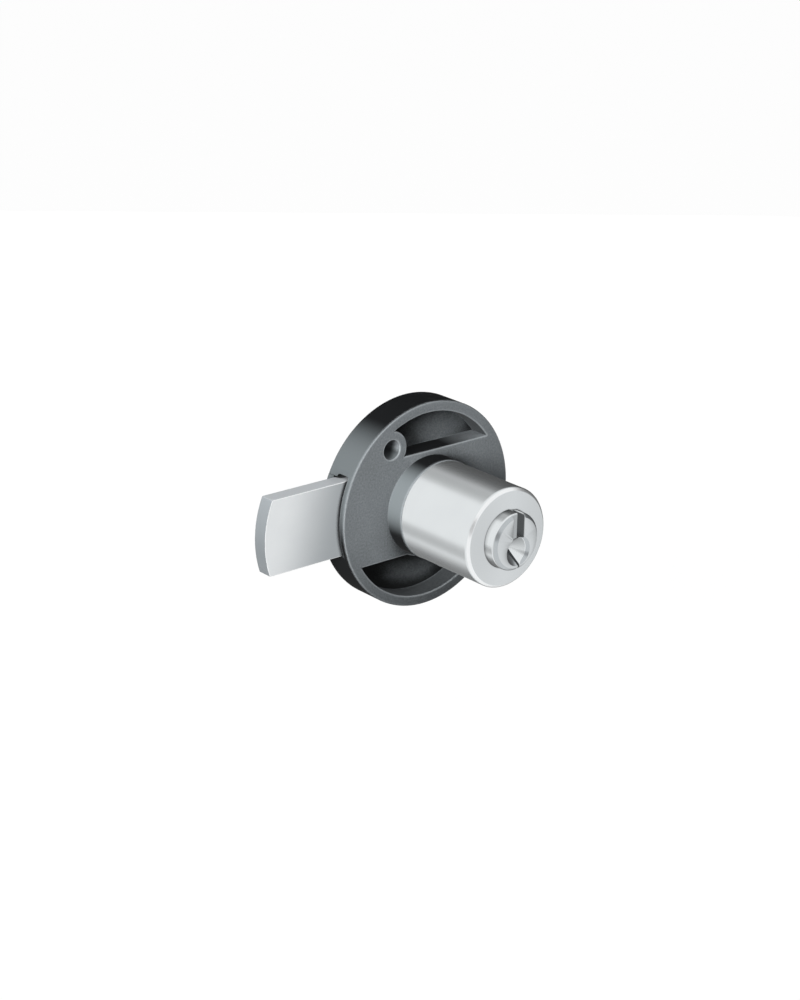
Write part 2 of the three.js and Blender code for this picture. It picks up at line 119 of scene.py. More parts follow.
white = toLinear("#ffffff")
studio = {
    "ambient": 0.035,
    "ambientTone": (0.97, 0.99, 1, 1),
    # Dark cards that stand outside the picture and shape the metal, as a photographer's do. Each has
    # a direction, the angles where its soft edge starts and ends, and how dark it is.
    "cards": [
        {"towards": (0.68, 0.68, 0.22), "core": 16, "edge": 48, "dark": 0.92},
        {"towards": (0.06, 0.70, 0.71), "core": 2, "edge": 15, "dark": 0.58},
        {"towards": (0.34, 0.70, -0.63), "core": 14, "edge": 42, "dark": 0.8},
        {"towards": (-0.52, 0.70, -0.49), "core": 2, "edge": 15, "dark": 0.6},
        {"towards": (0.99, 0.00, -0.10), "core": 18, "edge": 48, "dark": 0.75},
        {"towards": (-0.65, -0.70, 0.26), "core": 4, "edge": 20, "dark": 0.6},
    ],
    "floorDrop": 60,
    "floorSize": 4,
    "floorTone": "#eef0f1",
    "floorGlow": 0.98,
    "lamps": [
        {"name": "keyLamp", "from": (-0.87, -0.36, 0.30), "reach": 0.5, "size": 0.2, "watts": 5.6},
        {"name": "topLamp", "from": (-0.50, -0.40, 0.77), "reach": 0.5, "size": 0.3, "watts": 2.2},
        {"name": "backLamp", "from": (0.60, 0.80, 0.05), "reach": 0.5, "size": 0.4, "watts": 7},
    ],
}


def makeWorld(look):
    # Soft light for the surfaces, and a white background that the camera sees and metal mirrors
    world = bpy.data.worlds.new("studioWorld")
    world.use_nodes = True
    scene.world = world
    tree = world.node_tree
    tree.nodes.clear()
    direction = addNode(tree, "ShaderNodeTexCoord").outputs["Generated"]
    path = addNode(tree, "ShaderNodeLightPath")
    shade = 1
    for card in look["cards"]:
        towards = Vector(card["towards"]).normalized()
        facing = addNode(
            tree, "ShaderNodeVectorMath", {0: direction, 1: towards}, operation="DOT_PRODUCT",
        )
        patch = addNode(tree, "ShaderNodeMapRange", {
            "Value": facing.outputs["Value"],
            "From Min": math.cos(math.radians(card["edge"])),
            "From Max": math.cos(math.radians(card["core"])),
            "To Min": 1,
            "To Max": 1 - card["dark"],
        }, interpolation_type="SMOOTHSTEP").outputs["Result"]
        shade = addNode(
            tree, "ShaderNodeMath", {0: shade, 1: patch}, operation="MULTIPLY",
        ).outputs["Value"]
    bright = addNode(tree, "ShaderNodeMath", {
        0: shade, 1: path.outputs["Is Camera Ray"],
    }, operation="MAXIMUM")
    seen = 0
    for kind in ("Is Camera Ray", "Is Glossy Ray", "Is Transmission Ray"):
        seen = addNode(
            tree, "ShaderNodeMath", {0: seen, 1: path.outputs[kind]}, operation="MAXIMUM",
        ).outputs["Value"]
    ambient = addNode(
        tree, "ShaderNodeBackground", {"Color": look["ambientTone"], "Strength": look["ambient"]},
    )
    background = addNode(
        tree, "ShaderNodeBackground", {"Color": white, "Strength": bright.outputs["Value"]},
    )
    mixed = addNode(tree, "ShaderNodeMixShader", {
        0: seen, 1: ambient.outputs["Background"], 2: background.outputs["Background"],
    })
    addNode(tree, "ShaderNodeOutputWorld", {"Surface": mixed.outputs["Shader"]})


def makeFloor(look):
    # Plain pale floor. It is nearly white to the camera and keeps a soft shadow. Metal mirrors the
    # white background through it.
    bm = bmesh.new()
    bmesh.ops.create_grid(bm, x_segments=1, y_segments=1, size=look["floorSize"])
    bmesh.ops.translate(bm, vec=(0, 0, -look["floorDrop"] * mm), verts=bm.verts)
    mesh = bpy.data.meshes.new("floor")
    bm.to_mesh(mesh)
    bm.free()
    floor = bpy.data.objects.new("floor", mesh)
    scene.collection.objects.link(floor)
    floor.visible_glossy = False
    floor.visible_diffuse = False
    material = bpy.data.materials.new("paleFloor")
    material.use_nodes = True
    tree = material.node_tree
    tree.nodes.clear()
    paint = addNode(tree, "ShaderNodeBsdfDiffuse", {"Color": toLinear(look["floorTone"])})
    glow = addNode(tree, "ShaderNodeEmission", {"Color": white, "Strength": 1})
    path = addNode(tree, "ShaderNodeLightPath")
    share = addNode(tree, "ShaderNodeMath", {
        0: path.outputs["Is Camera Ray"], 1: look["floorGlow"],
    }, operation="MULTIPLY")
    mixed = addNode(tree, "ShaderNodeMixShader", {
        0: share.outputs["Value"], 1: paint.outputs["BSDF"], 2: glow.outputs["Emission"],
    })
    addNode(tree, "ShaderNodeOutputMaterial", {"Surface": mixed.outputs["Shader"]})
    mesh.materials.append(material)


def makeLamps(look):
    for lamp in look["lamps"]:
        light = bpy.data.lights.new(lamp["name"], "AREA")
        light.shape = "DISK"
        light.size = lamp["size"]
        light.energy = lamp["watts"]
        holder = bpy.data.objects.new(lamp["name"], light)
        holder.visible_glossy = False
        scene.collection.objects.link(holder)
        away = Vector(lamp["from"]).normalized()
        holder.location = away * lamp["reach"]
        holder.rotation_euler = away.to_track_quat("Z", "Y").to_euler()


makeWorld(studio)
makeFloor(studio)
makeLamps(studio)
print("studio ready")


# Materials

# How far a surface faces one way before it counts as one kind of place. A pair holds where the
# share starts and where it is full.
facings = {
    "turned": (0.6, 0.9), "floor": (-0.4, -0.9), "outerWall": (-0.6, -0.95), "front": (0.9, 0.97),
    "square": 0.95, "pit": (0.5, -0.7), "narrowSide": (0.6, 0.2),
}
cornerRays = 8  # rays that tell a corner or an edge
latheRotation = 0.25  # a quarter turn, because the marks run round the axis


def newMaterial(name):
    material = bpy.data.materials.new(name)
    material.use_nodes = True
    tree = material.node_tree
    tree.nodes.clear()
    return material, tree


def acrossAxis(tree, place):
    # The part of a place that points away from the axis along Y, and how long it is
    across = addNode(tree, "ShaderNodeVectorMath", {0: place, 1: (1, 0, 1)}, operation="MULTIPLY")
    across = across.outputs["Vector"]
    reach = addNode(tree, "ShaderNodeVectorMath", {0: across}, operation="LENGTH")
    return across, reach.outputs["Value"]


def facingParts(tree):
    # How far the surface faces along each axis, whichever way round
    normal = addNode(tree, "ShaderNodeTexCoord").outputs["Normal"]
    unsigned = addNode(tree, "ShaderNodeVectorMath", {0: normal}, operation="ABSOLUTE")
    return addNode(tree, "ShaderNodeSeparateXYZ", {0: unsigned.outputs["Vector"]}).outputs


def layered(tree, colour, layers):
    # Lays tones over a colour in turn. A layer is its share, from 0 to 1, and its tone.
    for share, tone in layers:
        colour = addNode(
            tree, "ShaderNodeMix", {0: share, 6: colour, 7: tone}, data_type="RGBA",
        ).outputs[2]
    return colour


def wornEdgeHighlights(tree, look):
    # 1 on outer edges and 0 on flats: close under an edge, rays cast into the metal soon come out.
    # The pale edges it makes are worn coat, and also painted highlights.
    inside = addNode(
        tree, "ShaderNodeAmbientOcclusion", {"Distance": look["edge"] * mm}, samples=cornerRays,
        inside=True, only_local=True,
    )
    flatShare, edgeShare = look["edgeShares"]
    return addNode(tree, "ShaderNodeMapRange", {
        "Value": inside.outputs["AO"], "From Min": flatShare, "From Max": edgeShare,
    }).outputs["Result"]


def corners(tree, look, lean=None):
    # 1 deep in corners and hollows, where painted shade goes, and 0 in the open. A lean looks to one
    # side of the surface, so that one side of a hollow gets more painted shade.
    inputs = {"Distance": look["cornerReach"] * mm}
    if lean:
        normal = addNode(tree, "ShaderNodeNewGeometry").outputs["Normal"]
        leaning = addNode(tree, "ShaderNodeVectorMath", {0: normal, 1: lean}, operation="ADD")
        inputs["Normal"] = addNode(
            tree, "ShaderNodeVectorMath", {0: leaning.outputs["Vector"]}, operation="NORMALIZE",
        ).outputs["Vector"]
    sky = addNode(
        tree, "ShaderNodeAmbientOcclusion", inputs, samples=cornerRays, only_local=bool(lean),
    ).outputs["AO"]
    if "shadeByHeight" in look:
        # Painted shade is deeper in the lower hollow than in the upper one
        place = addNode(tree, "ShaderNodeTexCoord").outputs["Object"]
        height = addNode(tree, "ShaderNodeSeparateXYZ", {0: place}).outputs["Z"]
        sky = addNode(tree, "ShaderNodeMath", {
            0: height, 1: look["shadeByHeight"], 2: sky,
        }, operation="MULTIPLY_ADD").outputs["Value"]
    openEnd, closedEnd = look["cornerShares"]
    return addNode(tree, "ShaderNodeMapRange", {
        "Value": sky, "From Min": openEnd, "From Max": closedEnd, "To Max": look["cornerShade"],
    }).outputs["Result"]


def paintedSheenShare(tree, look, away, onRim):
    # How far the turned rim and collar are painted grey as a highlight, on two opposite sides: the
    # upper left and the lower right. The rim gets less of it than the collar, over a shorter
    # stretch.
    towardSheen = addNode(
        tree, "ShaderNodeVectorMath", {0: away, 1: look["sheenSide"]}, operation="DOT_PRODUCT",
    )
    towardSheen = addNode(
        tree, "ShaderNodeMath", {0: towardSheen.outputs["Value"]}, operation="ABSOLUTE",
    )
    collarEnd, rimEnd = math.cos(look["sheenEnd"]), math.cos(look["rimSheenEnd"])
    end = addNode(tree, "ShaderNodeMath", {
        0: onRim, 1: rimEnd - collarEnd, 2: collarEnd,
    }, operation="MULTIPLY_ADD")
    sheenBand = addNode(tree, "ShaderNodeMapRange", {
        "Value": towardSheen.outputs["Value"], "From Min": end.outputs["Value"],
        "From Max": math.cos(look["sheenFull"]),
    }, interpolation_type="SMOOTHSTEP")
    most = addNode(tree, "ShaderNodeMath", {
        0: onRim, 1: look["rimSheen"] - 1, 2: 1,
    }, operation="MULTIPLY_ADD")
    return addNode(tree, "ShaderNodeMath", {
        0: sheenBand.outputs["Result"], 1: most.outputs["Value"],
    }, operation="MULTIPLY").outputs["Value"]


def caseShade(tree, look, normal, outwards, onRim, depth):
    # How far painted shade turns the coat black: on the hollows' floors, on their outer walls,
    # which face the axis, and on the rim round the bolt, behind the thin edge of the face
    level = addNode(tree, "ShaderNodeSeparateXYZ", {0: normal}).outputs["Y"]
    floors = addNode(tree, "ShaderNodeMapRange", {
        "Value": level, "From Min": facings["floor"][0], "From Max": facings["floor"][1],
    })
    walls = addNode(tree, "ShaderNodeMapRange", {
        "Value": outwards, "From Min": facings["outerWall"][0],
        "From Max": facings["outerWall"][1], "To Max": look["wallShade"],
    })
    outside = addNode(
        tree, "ShaderNodeMath", {0: onRim, 1: look["rimShare"]}, operation="GREATER_THAN",
    )
    behindLip = addNode(tree, "ShaderNodeMapRange", {
        "Value": depth, "From Min": look["lipStart"] * mm, "From Max": look["lipEnd"] * mm,
        "To Min": look["lipShare"],
    })
    # Painted shade in the hollows, deeper on the side that the lean looks to
    paintedShade = corners(tree, look, look["lean"])
    # Painted shade on the rim round the bolt, behind the thin edge of the face
    lipShade = corners(tree, look["notchShade"])
    paintedShade = addNode(
        tree, "ShaderNodeMath", {0: paintedShade, 1: floors.outputs["Result"]}, operation="MULTIPLY",
    ).outputs["Value"]
    for share in (outside.outputs["Value"], behindLip.outputs["Result"]):
        lipShade = addNode(
            tree, "ShaderNodeMath", {0: lipShade, 1: share}, operation="MULTIPLY",
        ).outputs["Value"]
    for other in (walls.outputs["Result"], lipShade):
        paintedShade = addNode(
            tree, "ShaderNodeMath", {0: paintedShade, 1: other}, operation="MAXIMUM",
        ).outputs["Value"]
    return paintedShade


def blackCoatedZinc(look):
    # Die-cast zinc under a satin black coat: dark grey, a soft sheen, and a fine cast grain.
    # The coat is thin on edges, so they look paler, and the pale edges are also painted highlights.
    material, tree = newMaterial("blackCoatedZinc")
    surface = addNode(tree, "ShaderNodeTexCoord")
    place, normal = surface.outputs["Object"], surface.outputs["Normal"]
    depth = addNode(tree, "ShaderNodeSeparateXYZ", {0: place}).outputs["Y"]
    grain = addNode(tree, "ShaderNodeTexNoise", {
        "Vector": place, "Scale": 1 / (look["grain"] * mm), "Detail": 3, "Roughness": 0.6,
    }).outputs["Fac"]
    patches = addNode(tree, "ShaderNodeTexNoise", {
        "Vector": place, "Scale": 1 / (look["patch"] * mm), "Detail": 2, "Roughness": 0.5,
    })
    coat = addNode(tree, "ShaderNodeMix", {
        0: patches.outputs["Fac"], 6: toLinear(look["darkCoat"]), 7: toLinear(look["paleCoat"]),
    }, data_type="RGBA")
    speckle = addNode(tree, "ShaderNodeMapRange", {
        "Value": grain, "From Min": look["speckleSpan"][0], "From Max": look["speckleSpan"][1],
        "To Min": 1 - look["speckle"], "To Max": 1 + look["speckle"],
    })
    coat = addNode(tree, "ShaderNodeVectorMath", {
        0: coat.outputs[2], "Scale": speckle.outputs["Result"],
    }, operation="SCALE")
    # 1 where the surface faces away from the axis, as on the turned rim and collar
    across, reach = acrossAxis(tree, place)
    away = addNode(
        tree, "ShaderNodeVectorMath", {0: across}, operation="NORMALIZE",
    ).outputs["Vector"]
    outwards = addNode(
        tree, "ShaderNodeVectorMath", {0: away, 1: normal}, operation="DOT_PRODUCT",
    ).outputs["Value"]
    turned = addNode(tree, "ShaderNodeMapRange", {
        "Value": outwards, "From Min": facings["turned"][0], "From Max": facings["turned"][1],
    })
    # 0 on the collar and 1 on the rim
    onRim = addNode(tree, "ShaderNodeMapRange", {
        "Value": reach, "From Min": look["collarRadius"] * mm, "From Max": look["rimRadius"] * mm,
    }).outputs["Result"]
    # The turned coat, with the painted highlight laid on it
    turnedCoat = addNode(tree, "ShaderNodeMix", {
        0: paintedSheenShare(tree, look, away, onRim), 6: toLinear(look["turnedCoat"]),
        7: toLinear(look["sheenCoat"]),
    }, data_type="RGBA")
    # Pale edges, as worn coat and painted highlights, only near the front
    wearAndPaintedLight = addNode(tree, "ShaderNodeMapRange", {
        "Value": depth, "From Min": look["wearEnd"] * mm, "From Max": look["wearFull"] * mm,
        "To Max": look["wearAndPaintedLight"],
    })
    wornAndHighlit = addNode(tree, "ShaderNodeMath", {
        0: wornEdgeHighlights(tree, look), 1: wearAndPaintedLight.outputs["Result"],
    }, operation="MULTIPLY")
    paintedShade = caseShade(tree, look, normal, outwards, onRim, depth)
    colour = layered(tree, coat.outputs["Vector"], [
        (turned.outputs["Result"], turnedCoat.outputs[2]),
        (paintedShade, toLinear(look["cornerShadeTone"])),
        (wornAndHighlit.outputs["Value"], toLinear(look["bareEdgeHighlight"])),
    ])
    sheen = addNode(tree, "ShaderNodeMapRange", {
        "Value": grain, "To Min": look["smooth"], "To Max": look["rough"],
    })
    relief = addNode(tree, "ShaderNodeBump", {
        "Strength": 1, "Distance": look["relief"] * mm, "Height": grain,
    })
    skin = addNode(tree, "ShaderNodeBsdfPrincipled", {
        "Base Color": colour, "Roughness": sheen.outputs["Result"],
        "Normal": relief.outputs["Normal"], "Metallic": look["metallic"],
        "Specular IOR Level": look["gloss"], "IOR": look["index"],
    })
    addNode(tree, "ShaderNodeOutputMaterial", {"Surface": skin.outputs["BSDF"]})
    return material


def turnedMetal(name, look):
    # Plated metal finished on a lathe: fine marks run round the axis along Y, so the noise is read
    # by the distance from the axis and the place along it.
    material, tree = newMaterial(name)
    place = addNode(tree, "ShaderNodeTexCoord").outputs["Object"]
    reach = acrossAxis(tree, place)[1]
    along = addNode(tree, "ShaderNodeSeparateXYZ", {0: place}).outputs["Y"]
    ringPlace = addNode(tree, "ShaderNodeCombineXYZ", {0: reach, 1: along})
    marks = addNode(tree, "ShaderNodeTexNoise", {
        "Vector": ringPlace.outputs["Vector"], "Scale": 1 / (look["marks"] * mm), "Detail": 2,
    })
    # The marks spread a mirror image across themselves, which is what anisotropy draws
    around = addNode(
        tree, "ShaderNodeVectorMath", {0: place, 1: (0, 1, 0)}, operation="CROSS_PRODUCT",
    )
    turnedWith = addNode(
        tree, "ShaderNodeVectorTransform", {"Vector": around.outputs["Vector"]},
        vector_type="VECTOR", convert_from="OBJECT", convert_to="WORLD",
    )
    return finishMetal(material, tree, marks, look, turnedWith.outputs["Vector"])


def brushedMetal(name, look):
    # Plated sheet metal brushed lengthways: fine marks run along X
    material, tree = newMaterial(name)
    place = addNode(tree, "ShaderNodeTexCoord").outputs["Object"]
    drawn = addNode(tree, "ShaderNodeVectorMath", {
        0: place, 1: (1 / look["stretch"], 1, 1),
    }, operation="MULTIPLY")
    marks = addNode(tree, "ShaderNodeTexNoise", {
        "Vector": drawn.outputs["Vector"], "Scale": 1 / (look["marks"] * mm), "Detail": 3,
    })
    return finishMetal(material, tree, marks, look)


def paintedFrontLayers(tree, look):
    # The faced front is painted darker as shade, and the chamfers round it get a painted tone of
    # their own: a highlight on the sleeve and shade on the plug
    forward = facingParts(tree)["Y"]
    front = addNode(tree, "ShaderNodeMapRange", {
        "Value": forward, "From Min": facings["front"][0], "From Max": facings["front"][1],
    })
    chamfer = addNode(tree, "ShaderNodeMath", {
        0: forward, 1: look["chamferFacing"], 2: look["chamferSpread"],
    }, operation="COMPARE")
    return [
        (front.outputs["Result"], toLinear(look["facedShade"])),
        (chamfer.outputs["Value"], toLinear(look["chamfer"])),
    ]


def keywayShadeShare(tree, look, place):
    # Painted shade on the keyway's side walls and on the step's floor, which lie behind the
    # plug's face and inside its edge
    depth = addNode(tree, "ShaderNodeSeparateXYZ", {0: place}).outputs["Y"]
    behind = addNode(tree, "ShaderNodeMapRange", {
        "Value": depth, "From Min": look["recessStart"] * mm, "From Max": look["recessFull"] * mm,
        "To Max": look["recessShade"],
    })
    within = addNode(tree, "ShaderNodeMath", {
        0: acrossAxis(tree, place)[1], 1: look["recessRadius"] * mm,
    }, operation="LESS_THAN")
    facing = facingParts(tree)
    upright = addNode(
        tree, "ShaderNodeMath", {0: facing["X"], 1: facings["square"]}, operation="GREATER_THAN",
    )
    level = addNode(
        tree, "ShaderNodeMath", {0: facing["Y"], 1: facings["square"]}, operation="GREATER_THAN",
    )
    onWalls = addNode(tree, "ShaderNodeMath", {
        0: level.outputs["Value"], 1: look["stepShare"], 2: upright.outputs["Value"],
    }, operation="MULTIPLY_ADD")
    paintedShade = behind.outputs["Result"]
    for share in (within.outputs["Value"], onWalls.outputs["Value"]):
        paintedShade = addNode(
            tree, "ShaderNodeMath", {0: paintedShade, 1: share}, operation="MULTIPLY",
        ).outputs["Value"]
    # Painted shade darkens the drilled pit towards its top.
    # Its cone is known by how far it faces the front.
    cone = addNode(tree, "ShaderNodeMath", {
        0: facing["Y"], 1: look["coneFacing"], 2: look["coneSpread"],
    }, operation="COMPARE")
    normal = addNode(tree, "ShaderNodeTexCoord").outputs["Normal"]
    height = addNode(tree, "ShaderNodeSeparateXYZ", {0: normal}).outputs["Z"]
    pit = addNode(tree, "ShaderNodeMapRange", {
        "Value": height, "From Min": facings["pit"][0], "From Max": facings["pit"][1],
        "To Max": look["pit"],
    })
    pit = addNode(tree, "ShaderNodeMath", {
        0: pit.outputs["Result"], 1: cone.outputs["Value"],
    }, operation="MULTIPLY")
    return addNode(
        tree, "ShaderNodeMath", {0: paintedShade, 1: pit.outputs["Value"]}, operation="MAXIMUM",
    ).outputs["Value"]


def boltShadeAndWear(tree, look, place):
    # Painted shade, darkest where the bolt slides into the case
    run = addNode(
        tree, "ShaderNodeVectorMath", {0: place, 1: look["shadeRun"]}, operation="DOT_PRODUCT",
    )
    shadeTowardsCase = addNode(tree, "ShaderNodeMapRange", {
        "Value": run.outputs["Value"], "From Min": look["shadeStart"] * mm,
        "From Max": look["shadeFull"] * mm,
    }, interpolation_type="SMOOTHSTEP")
    # The narrow sides are matter than the two flat faces, and the sheared end is the darkest
    facing = facingParts(tree)
    side = addNode(tree, "ShaderNodeMapRange", {
        "Value": facing["Y"], "From Min": facings["narrowSide"][0],
        "From Max": facings["narrowSide"][1],
    }).outputs["Result"]
    matt = addNode(tree, "ShaderNodeMix", {
        0: facing["X"], 6: toLinear(look["longSide"]), 7: toLinear(look["shearedEnd"]),
    }, data_type="RGBA")
    metal = addNode(tree, "ShaderNodeMapRange", {
        "Value": side, "To Min": look["metallic"], "To Max": look["sideMetal"],
    })
    # The rounded edges between them are worn bright, and also carry a painted highlight
    edge = addNode(tree, "ShaderNodeMath", {
        0: facing["Y"], 1: look["edgeFacing"], 2: look["edgeSpread"],
    }, operation="COMPARE")
    layers = [
        (shadeTowardsCase.outputs["Result"], toLinear(look["shadeTowardsCase"])), (side, matt.outputs[2]),
        (edge.outputs["Value"], toLinear(look["wornEdgeAndHighlight"])),
    ]
    return layers, metal.outputs["Result"]


def finishMetal(material, tree, marks, look, grooves=None):
    # Cloudy plating with what lies over it, and the marks in its roughness and relief
    place = addNode(tree, "ShaderNodeTexCoord").outputs["Object"]
    cloud = addNode(tree, "ShaderNodeTexNoise", {
        "Vector": place, "Scale": 1 / (look["patch"] * mm), "Detail": 2,
    })
    layers, metal = [(cloud.outputs["Fac"], toLinear(look["bright"]))], look["metallic"]
    # Painted shade on the faced front, and a painted tone on the chamfers
    if "facedShade" in look:
        layers += paintedFrontLayers(tree, look)
    # Painted shade in the keyway and its pit
    if "recessShade" in look:
        layers.append((keywayShadeShare(tree, look, place), toLinear(look["paintedShade"])))
    # Painted shade towards the case, with the bolt's matt sides and bright edges
    if "shadeTowardsCase" in look:
        wearAndPaintedLight, metal = boltShadeAndWear(tree, look, place)
        layers += wearAndPaintedLight
    # Painted shade in corners, gaps and hollows
    if "paintedShade" in look:
        layers.append((corners(tree, look), toLinear(look["paintedShade"])))
    sheen = addNode(tree, "ShaderNodeMapRange", {
        "Value": marks.outputs["Fac"], "To Min": look["smooth"], "To Max": look["rough"],
    })
    relief = addNode(tree, "ShaderNodeBump", {
        "Strength": 1, "Distance": look["relief"] * mm, "Height": marks.outputs["Fac"],
    })
    skin = addNode(tree, "ShaderNodeBsdfPrincipled", {
        "Base Color": layered(tree, toLinear(look["dull"]), layers),
        "Roughness": sheen.outputs["Result"], "Normal": relief.outputs["Normal"],
        "Metallic": metal,
    })
    if grooves and "lathe" in look:
        tree.links.new(grooves, skin.inputs["Tangent"])
        skin.inputs["Anisotropic"].default_value = look["lathe"]
        skin.inputs["Anisotropic Rotation"].default_value = latheRotation
    addNode(tree, "ShaderNodeOutputMaterial", {"Surface": skin.outputs["BSDF"]})
    return material


zincCoat = blackCoatedZinc({
    "darkCoat": "#606466", "paleCoat": "#696d70", "turnedCoat": "#0e0f10",
    "sheenCoat": "#5c6163", "cornerShadeTone": "#040505", "bareEdgeHighlight": "#a6abae",
    "grain": 0.36, "speckle": 0.2, "speckleSpan": (0.3, 0.7), "patch": 6, "relief": 0.008,
    "smooth": 0.36, "rough": 0.50, "metallic": 0, "gloss": 0.1, "index": 1.25,
    "sheenSide": (-0.906, 0, 0.423), "sheenFull": math.radians(10),
    "sheenEnd": math.radians(48), "rimSheenEnd": math.radians(37), "rimSheen": 0.7,
    "collarRadius": 10, "rimRadius": 19.5, "rimShare": 0.9,
    "edge": 0.38, "edgeShares": (0.97, 0.62), "wearAndPaintedLight": 0.5, "wearFull": 0.8, "wearEnd": 1.3,
    "cornerReach": 5.5, "cornerShares": (0.84, 0.52), "cornerShade": 0.96, "shadeByHeight": 12,
    "lean": (-0.8, 0, 0.42), "wallShade": 0.7,
    "notchShade": {"cornerReach": 2.2, "cornerShares": (0.92, 0.62), "cornerShade": 0.97},
    "lipStart": 1.2, "lipEnd": 2, "lipShare": 0.25,
})
satinNickel = turnedMetal("satinNickel", {
    "dull": "#dfe3e5", "bright": "#e6eaeb", "marks": 0.16, "patch": 5, "relief": 0.0005,
    "smooth": 0.25, "rough": 0.28, "metallic": 1, "lathe": 0.8, "paintedShade": "#34393c",
    "cornerReach": 0.6, "cornerShares": (0.8, 0.3), "cornerShade": 0.9,
    "facedShade": "#d4d8da", "chamfer": "#f2f4f5", "chamferFacing": 0.71, "chamferSpread": 0.12,
})
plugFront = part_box("plug")[0].y / mm
plugNickel = turnedMetal("satinNickelPlug", {
    "dull": "#dfe3e5", "bright": "#e6eaeb", "marks": 0.16, "patch": 5, "relief": 0.0006,
    "smooth": 0.22, "rough": 0.26, "metallic": 1, "lathe": 0.6, "paintedShade": "#2a2e31",
    "cornerReach": 1.5, "cornerShares": (0.8, 0.2), "cornerShade": 0.85,
    "facedShade": "#ced2d4", "chamfer": "#b9bec1", "chamferFacing": 0.71, "chamferSpread": 0.08,
    "recessShade": 0.9, "recessStart": plugFront + 0.05, "recessFull": plugFront + 0.3,
    "recessRadius": 5.2, "stepShare": 0.4, "coneFacing": 0.537, "coneSpread": 0.09, "pit": 0.6,
})
nickelSteel = brushedMetal("nickelPlatedSteel", {
    "dull": "#dfe2e4", "bright": "#e6e9ea", "marks": 0.14, "stretch": 30, "patch": 4,
    "relief": 0.0012, "smooth": 0.26, "rough": 0.36, "metallic": 1, "paintedShade": "#060707",
    "cornerReach": 0.9, "cornerShares": (0.85, 0.55), "cornerShade": 0.97,
    "shadeTowardsCase": "#a2a7aa", "shadeRun": (1, 0, -0.3), "shadeStart": -35, "shadeFull": -19,
    "longSide": "#b2b6b9", "shearedEnd": "#73787b", "sideMetal": 0.4,
    "edgeFacing": 0.72, "edgeSpread": 0.24, "wornEdgeAndHighlight": "#f4f6f7",
})
zincSteel = turnedMetal("zincPlatedSteel", {
    "dull": "#a9b0b4", "bright": "#c3c9cc", "marks": 0.1, "patch": 1.5, "relief": 0.0010,
    "smooth": 0.30, "rough": 0.45, "metallic": 1,
})
stampedBrass = brushedMetal("stampedBrass", {
    "dull": "#a8873f", "bright": "#c9a860", "marks": 0.1, "stretch": 8, "patch": 1.5,
    "relief": 0.0010, "smooth": 0.30, "rough": 0.42, "metallic": 1,
})
springSteel = turnedMetal("drawnSpringSteel", {
    "dull": "#7d8387", "bright": "#989ea2", "marks": 0.08, "patch": 1, "relief": 0.0008,
    "smooth": 0.28, "rough": 0.4, "metallic": 1,
})
print("materials ready")


# Making and shaping solids

def bar(radius, front, back, across=0, height=0, steps=96):
    # A round bar along Y
    bm = bmesh.new()
    bmesh.ops.create_cone(
        bm, cap_ends=True, cap_tris=False, segments=steps, radius1=radius, radius2=radius,
        depth=back - front,
    )
    bmesh.ops.rotate(bm, verts=bm.verts, cent=(0, 0, 0), matrix=uprightToAlong)
    bmesh.ops.translate(bm, verts=bm.verts, vec=(across, (front + back) / 2, height))
    return bm


def block(low, high):
    bm = bmesh.new()
    bmesh.ops.create_cube(bm, size=1)
    low, high = Vector(low), Vector(high)
    bmesh.ops.scale(bm, vec=high - low, verts=bm.verts)
    bmesh.ops.translate(bm, vec=(high + low) / 2, verts=bm.verts)
    return bm


def spun(profile, steps=192, across=0, height=0):
    # A profile of (radius, place along Y) pairs, turned about an axis along Y. It runs from axis to
    # axis, or is a ring that closes on its first point.
    bm = bmesh.new()
    points = [bm.verts.new((radius, along, 0)) for radius, along in profile]
    following = points[1:] + (points[:1] if profile[0][0] > 0 else [])
    lines = [bm.edges.new(pair) for pair in zip(points, following)]
    bmesh.ops.spin(
        bm, geom=points + lines, cent=(0, 0, 0), axis=(0, 1, 0), dvec=(0, 0, 0),
        angle=fullTurn, steps=steps, use_merge=True, use_duplicate=False,
    )
    bmesh.ops.translate(bm, verts=bm.verts, vec=(across, 0, height))
    return tidied(bm)


def tidied(bm):
    bmesh.ops.remove_doubles(bm, verts=bm.verts, dist=weld)
    bmesh.ops.recalc_face_normals(bm, faces=bm.faces)
    return bm


def thickened(bm, depth):
    raised = bmesh.ops.extrude_face_region(bm, geom=bm.faces[:])["geom"]
    corners = [item for item in raised if isinstance(item, bmesh.types.BMVert)]
    bmesh.ops.translate(bm, verts=corners, vec=(0, depth, 0))
    return tidied(bm)


def plate(outline, front, back):
    # A flat outline of (x, z) points with its thickness along Y
    bm = bmesh.new()
    bm.faces.new([bm.verts.new((x, front, z)) for x, z in outline])
    return thickened(bm, back - front)


def arc(radius, start, end, steps, across=0):
    # Points of an outline from one angle to another, measured from +X towards +Z
    angles = [start + (end - start) * i / steps for i in range(steps + 1)]
    return [(across + radius * math.cos(angle), radius * math.sin(angle)) for angle in angles]


def lofted(rings):
    # A closed solid through rings of points. Each ring has as many points as the one before.
    bm = bmesh.new()
    rows = [[bm.verts.new(point) for point in ring] for ring in rings]
    for before, after in zip(rows, rows[1:]):
        for i in range(len(before)):
            j = (i + 1) % len(before)
            bm.faces.new((before[i], before[j], after[j], after[i]))
    bm.faces.new(rows[0])
    bm.faces.new(rows[-1])
    return tidied(bm)


def flare(width, steps=4):
    # The rounded rim of a hole in a face at 0, as (depth, widening) pairs from outside inwards. It
    # passes through the face on a slope, so that no corner of the cutter lies in the face itself.
    angles = [math.pi / 2 * i / steps for i in range(steps, -1, -1)]
    curve = [(width * (1 - math.sin(angle)), width * (1 - math.cos(angle))) for angle in angles]
    (faceDepth, faceWide), (nextDepth, nextWide) = curve[:2]
    beyond = (2 * faceDepth - nextDepth, 2 * faceWide - nextWide)
    return [(-overrun, beyond[1]), beyond, *curve[1:]]


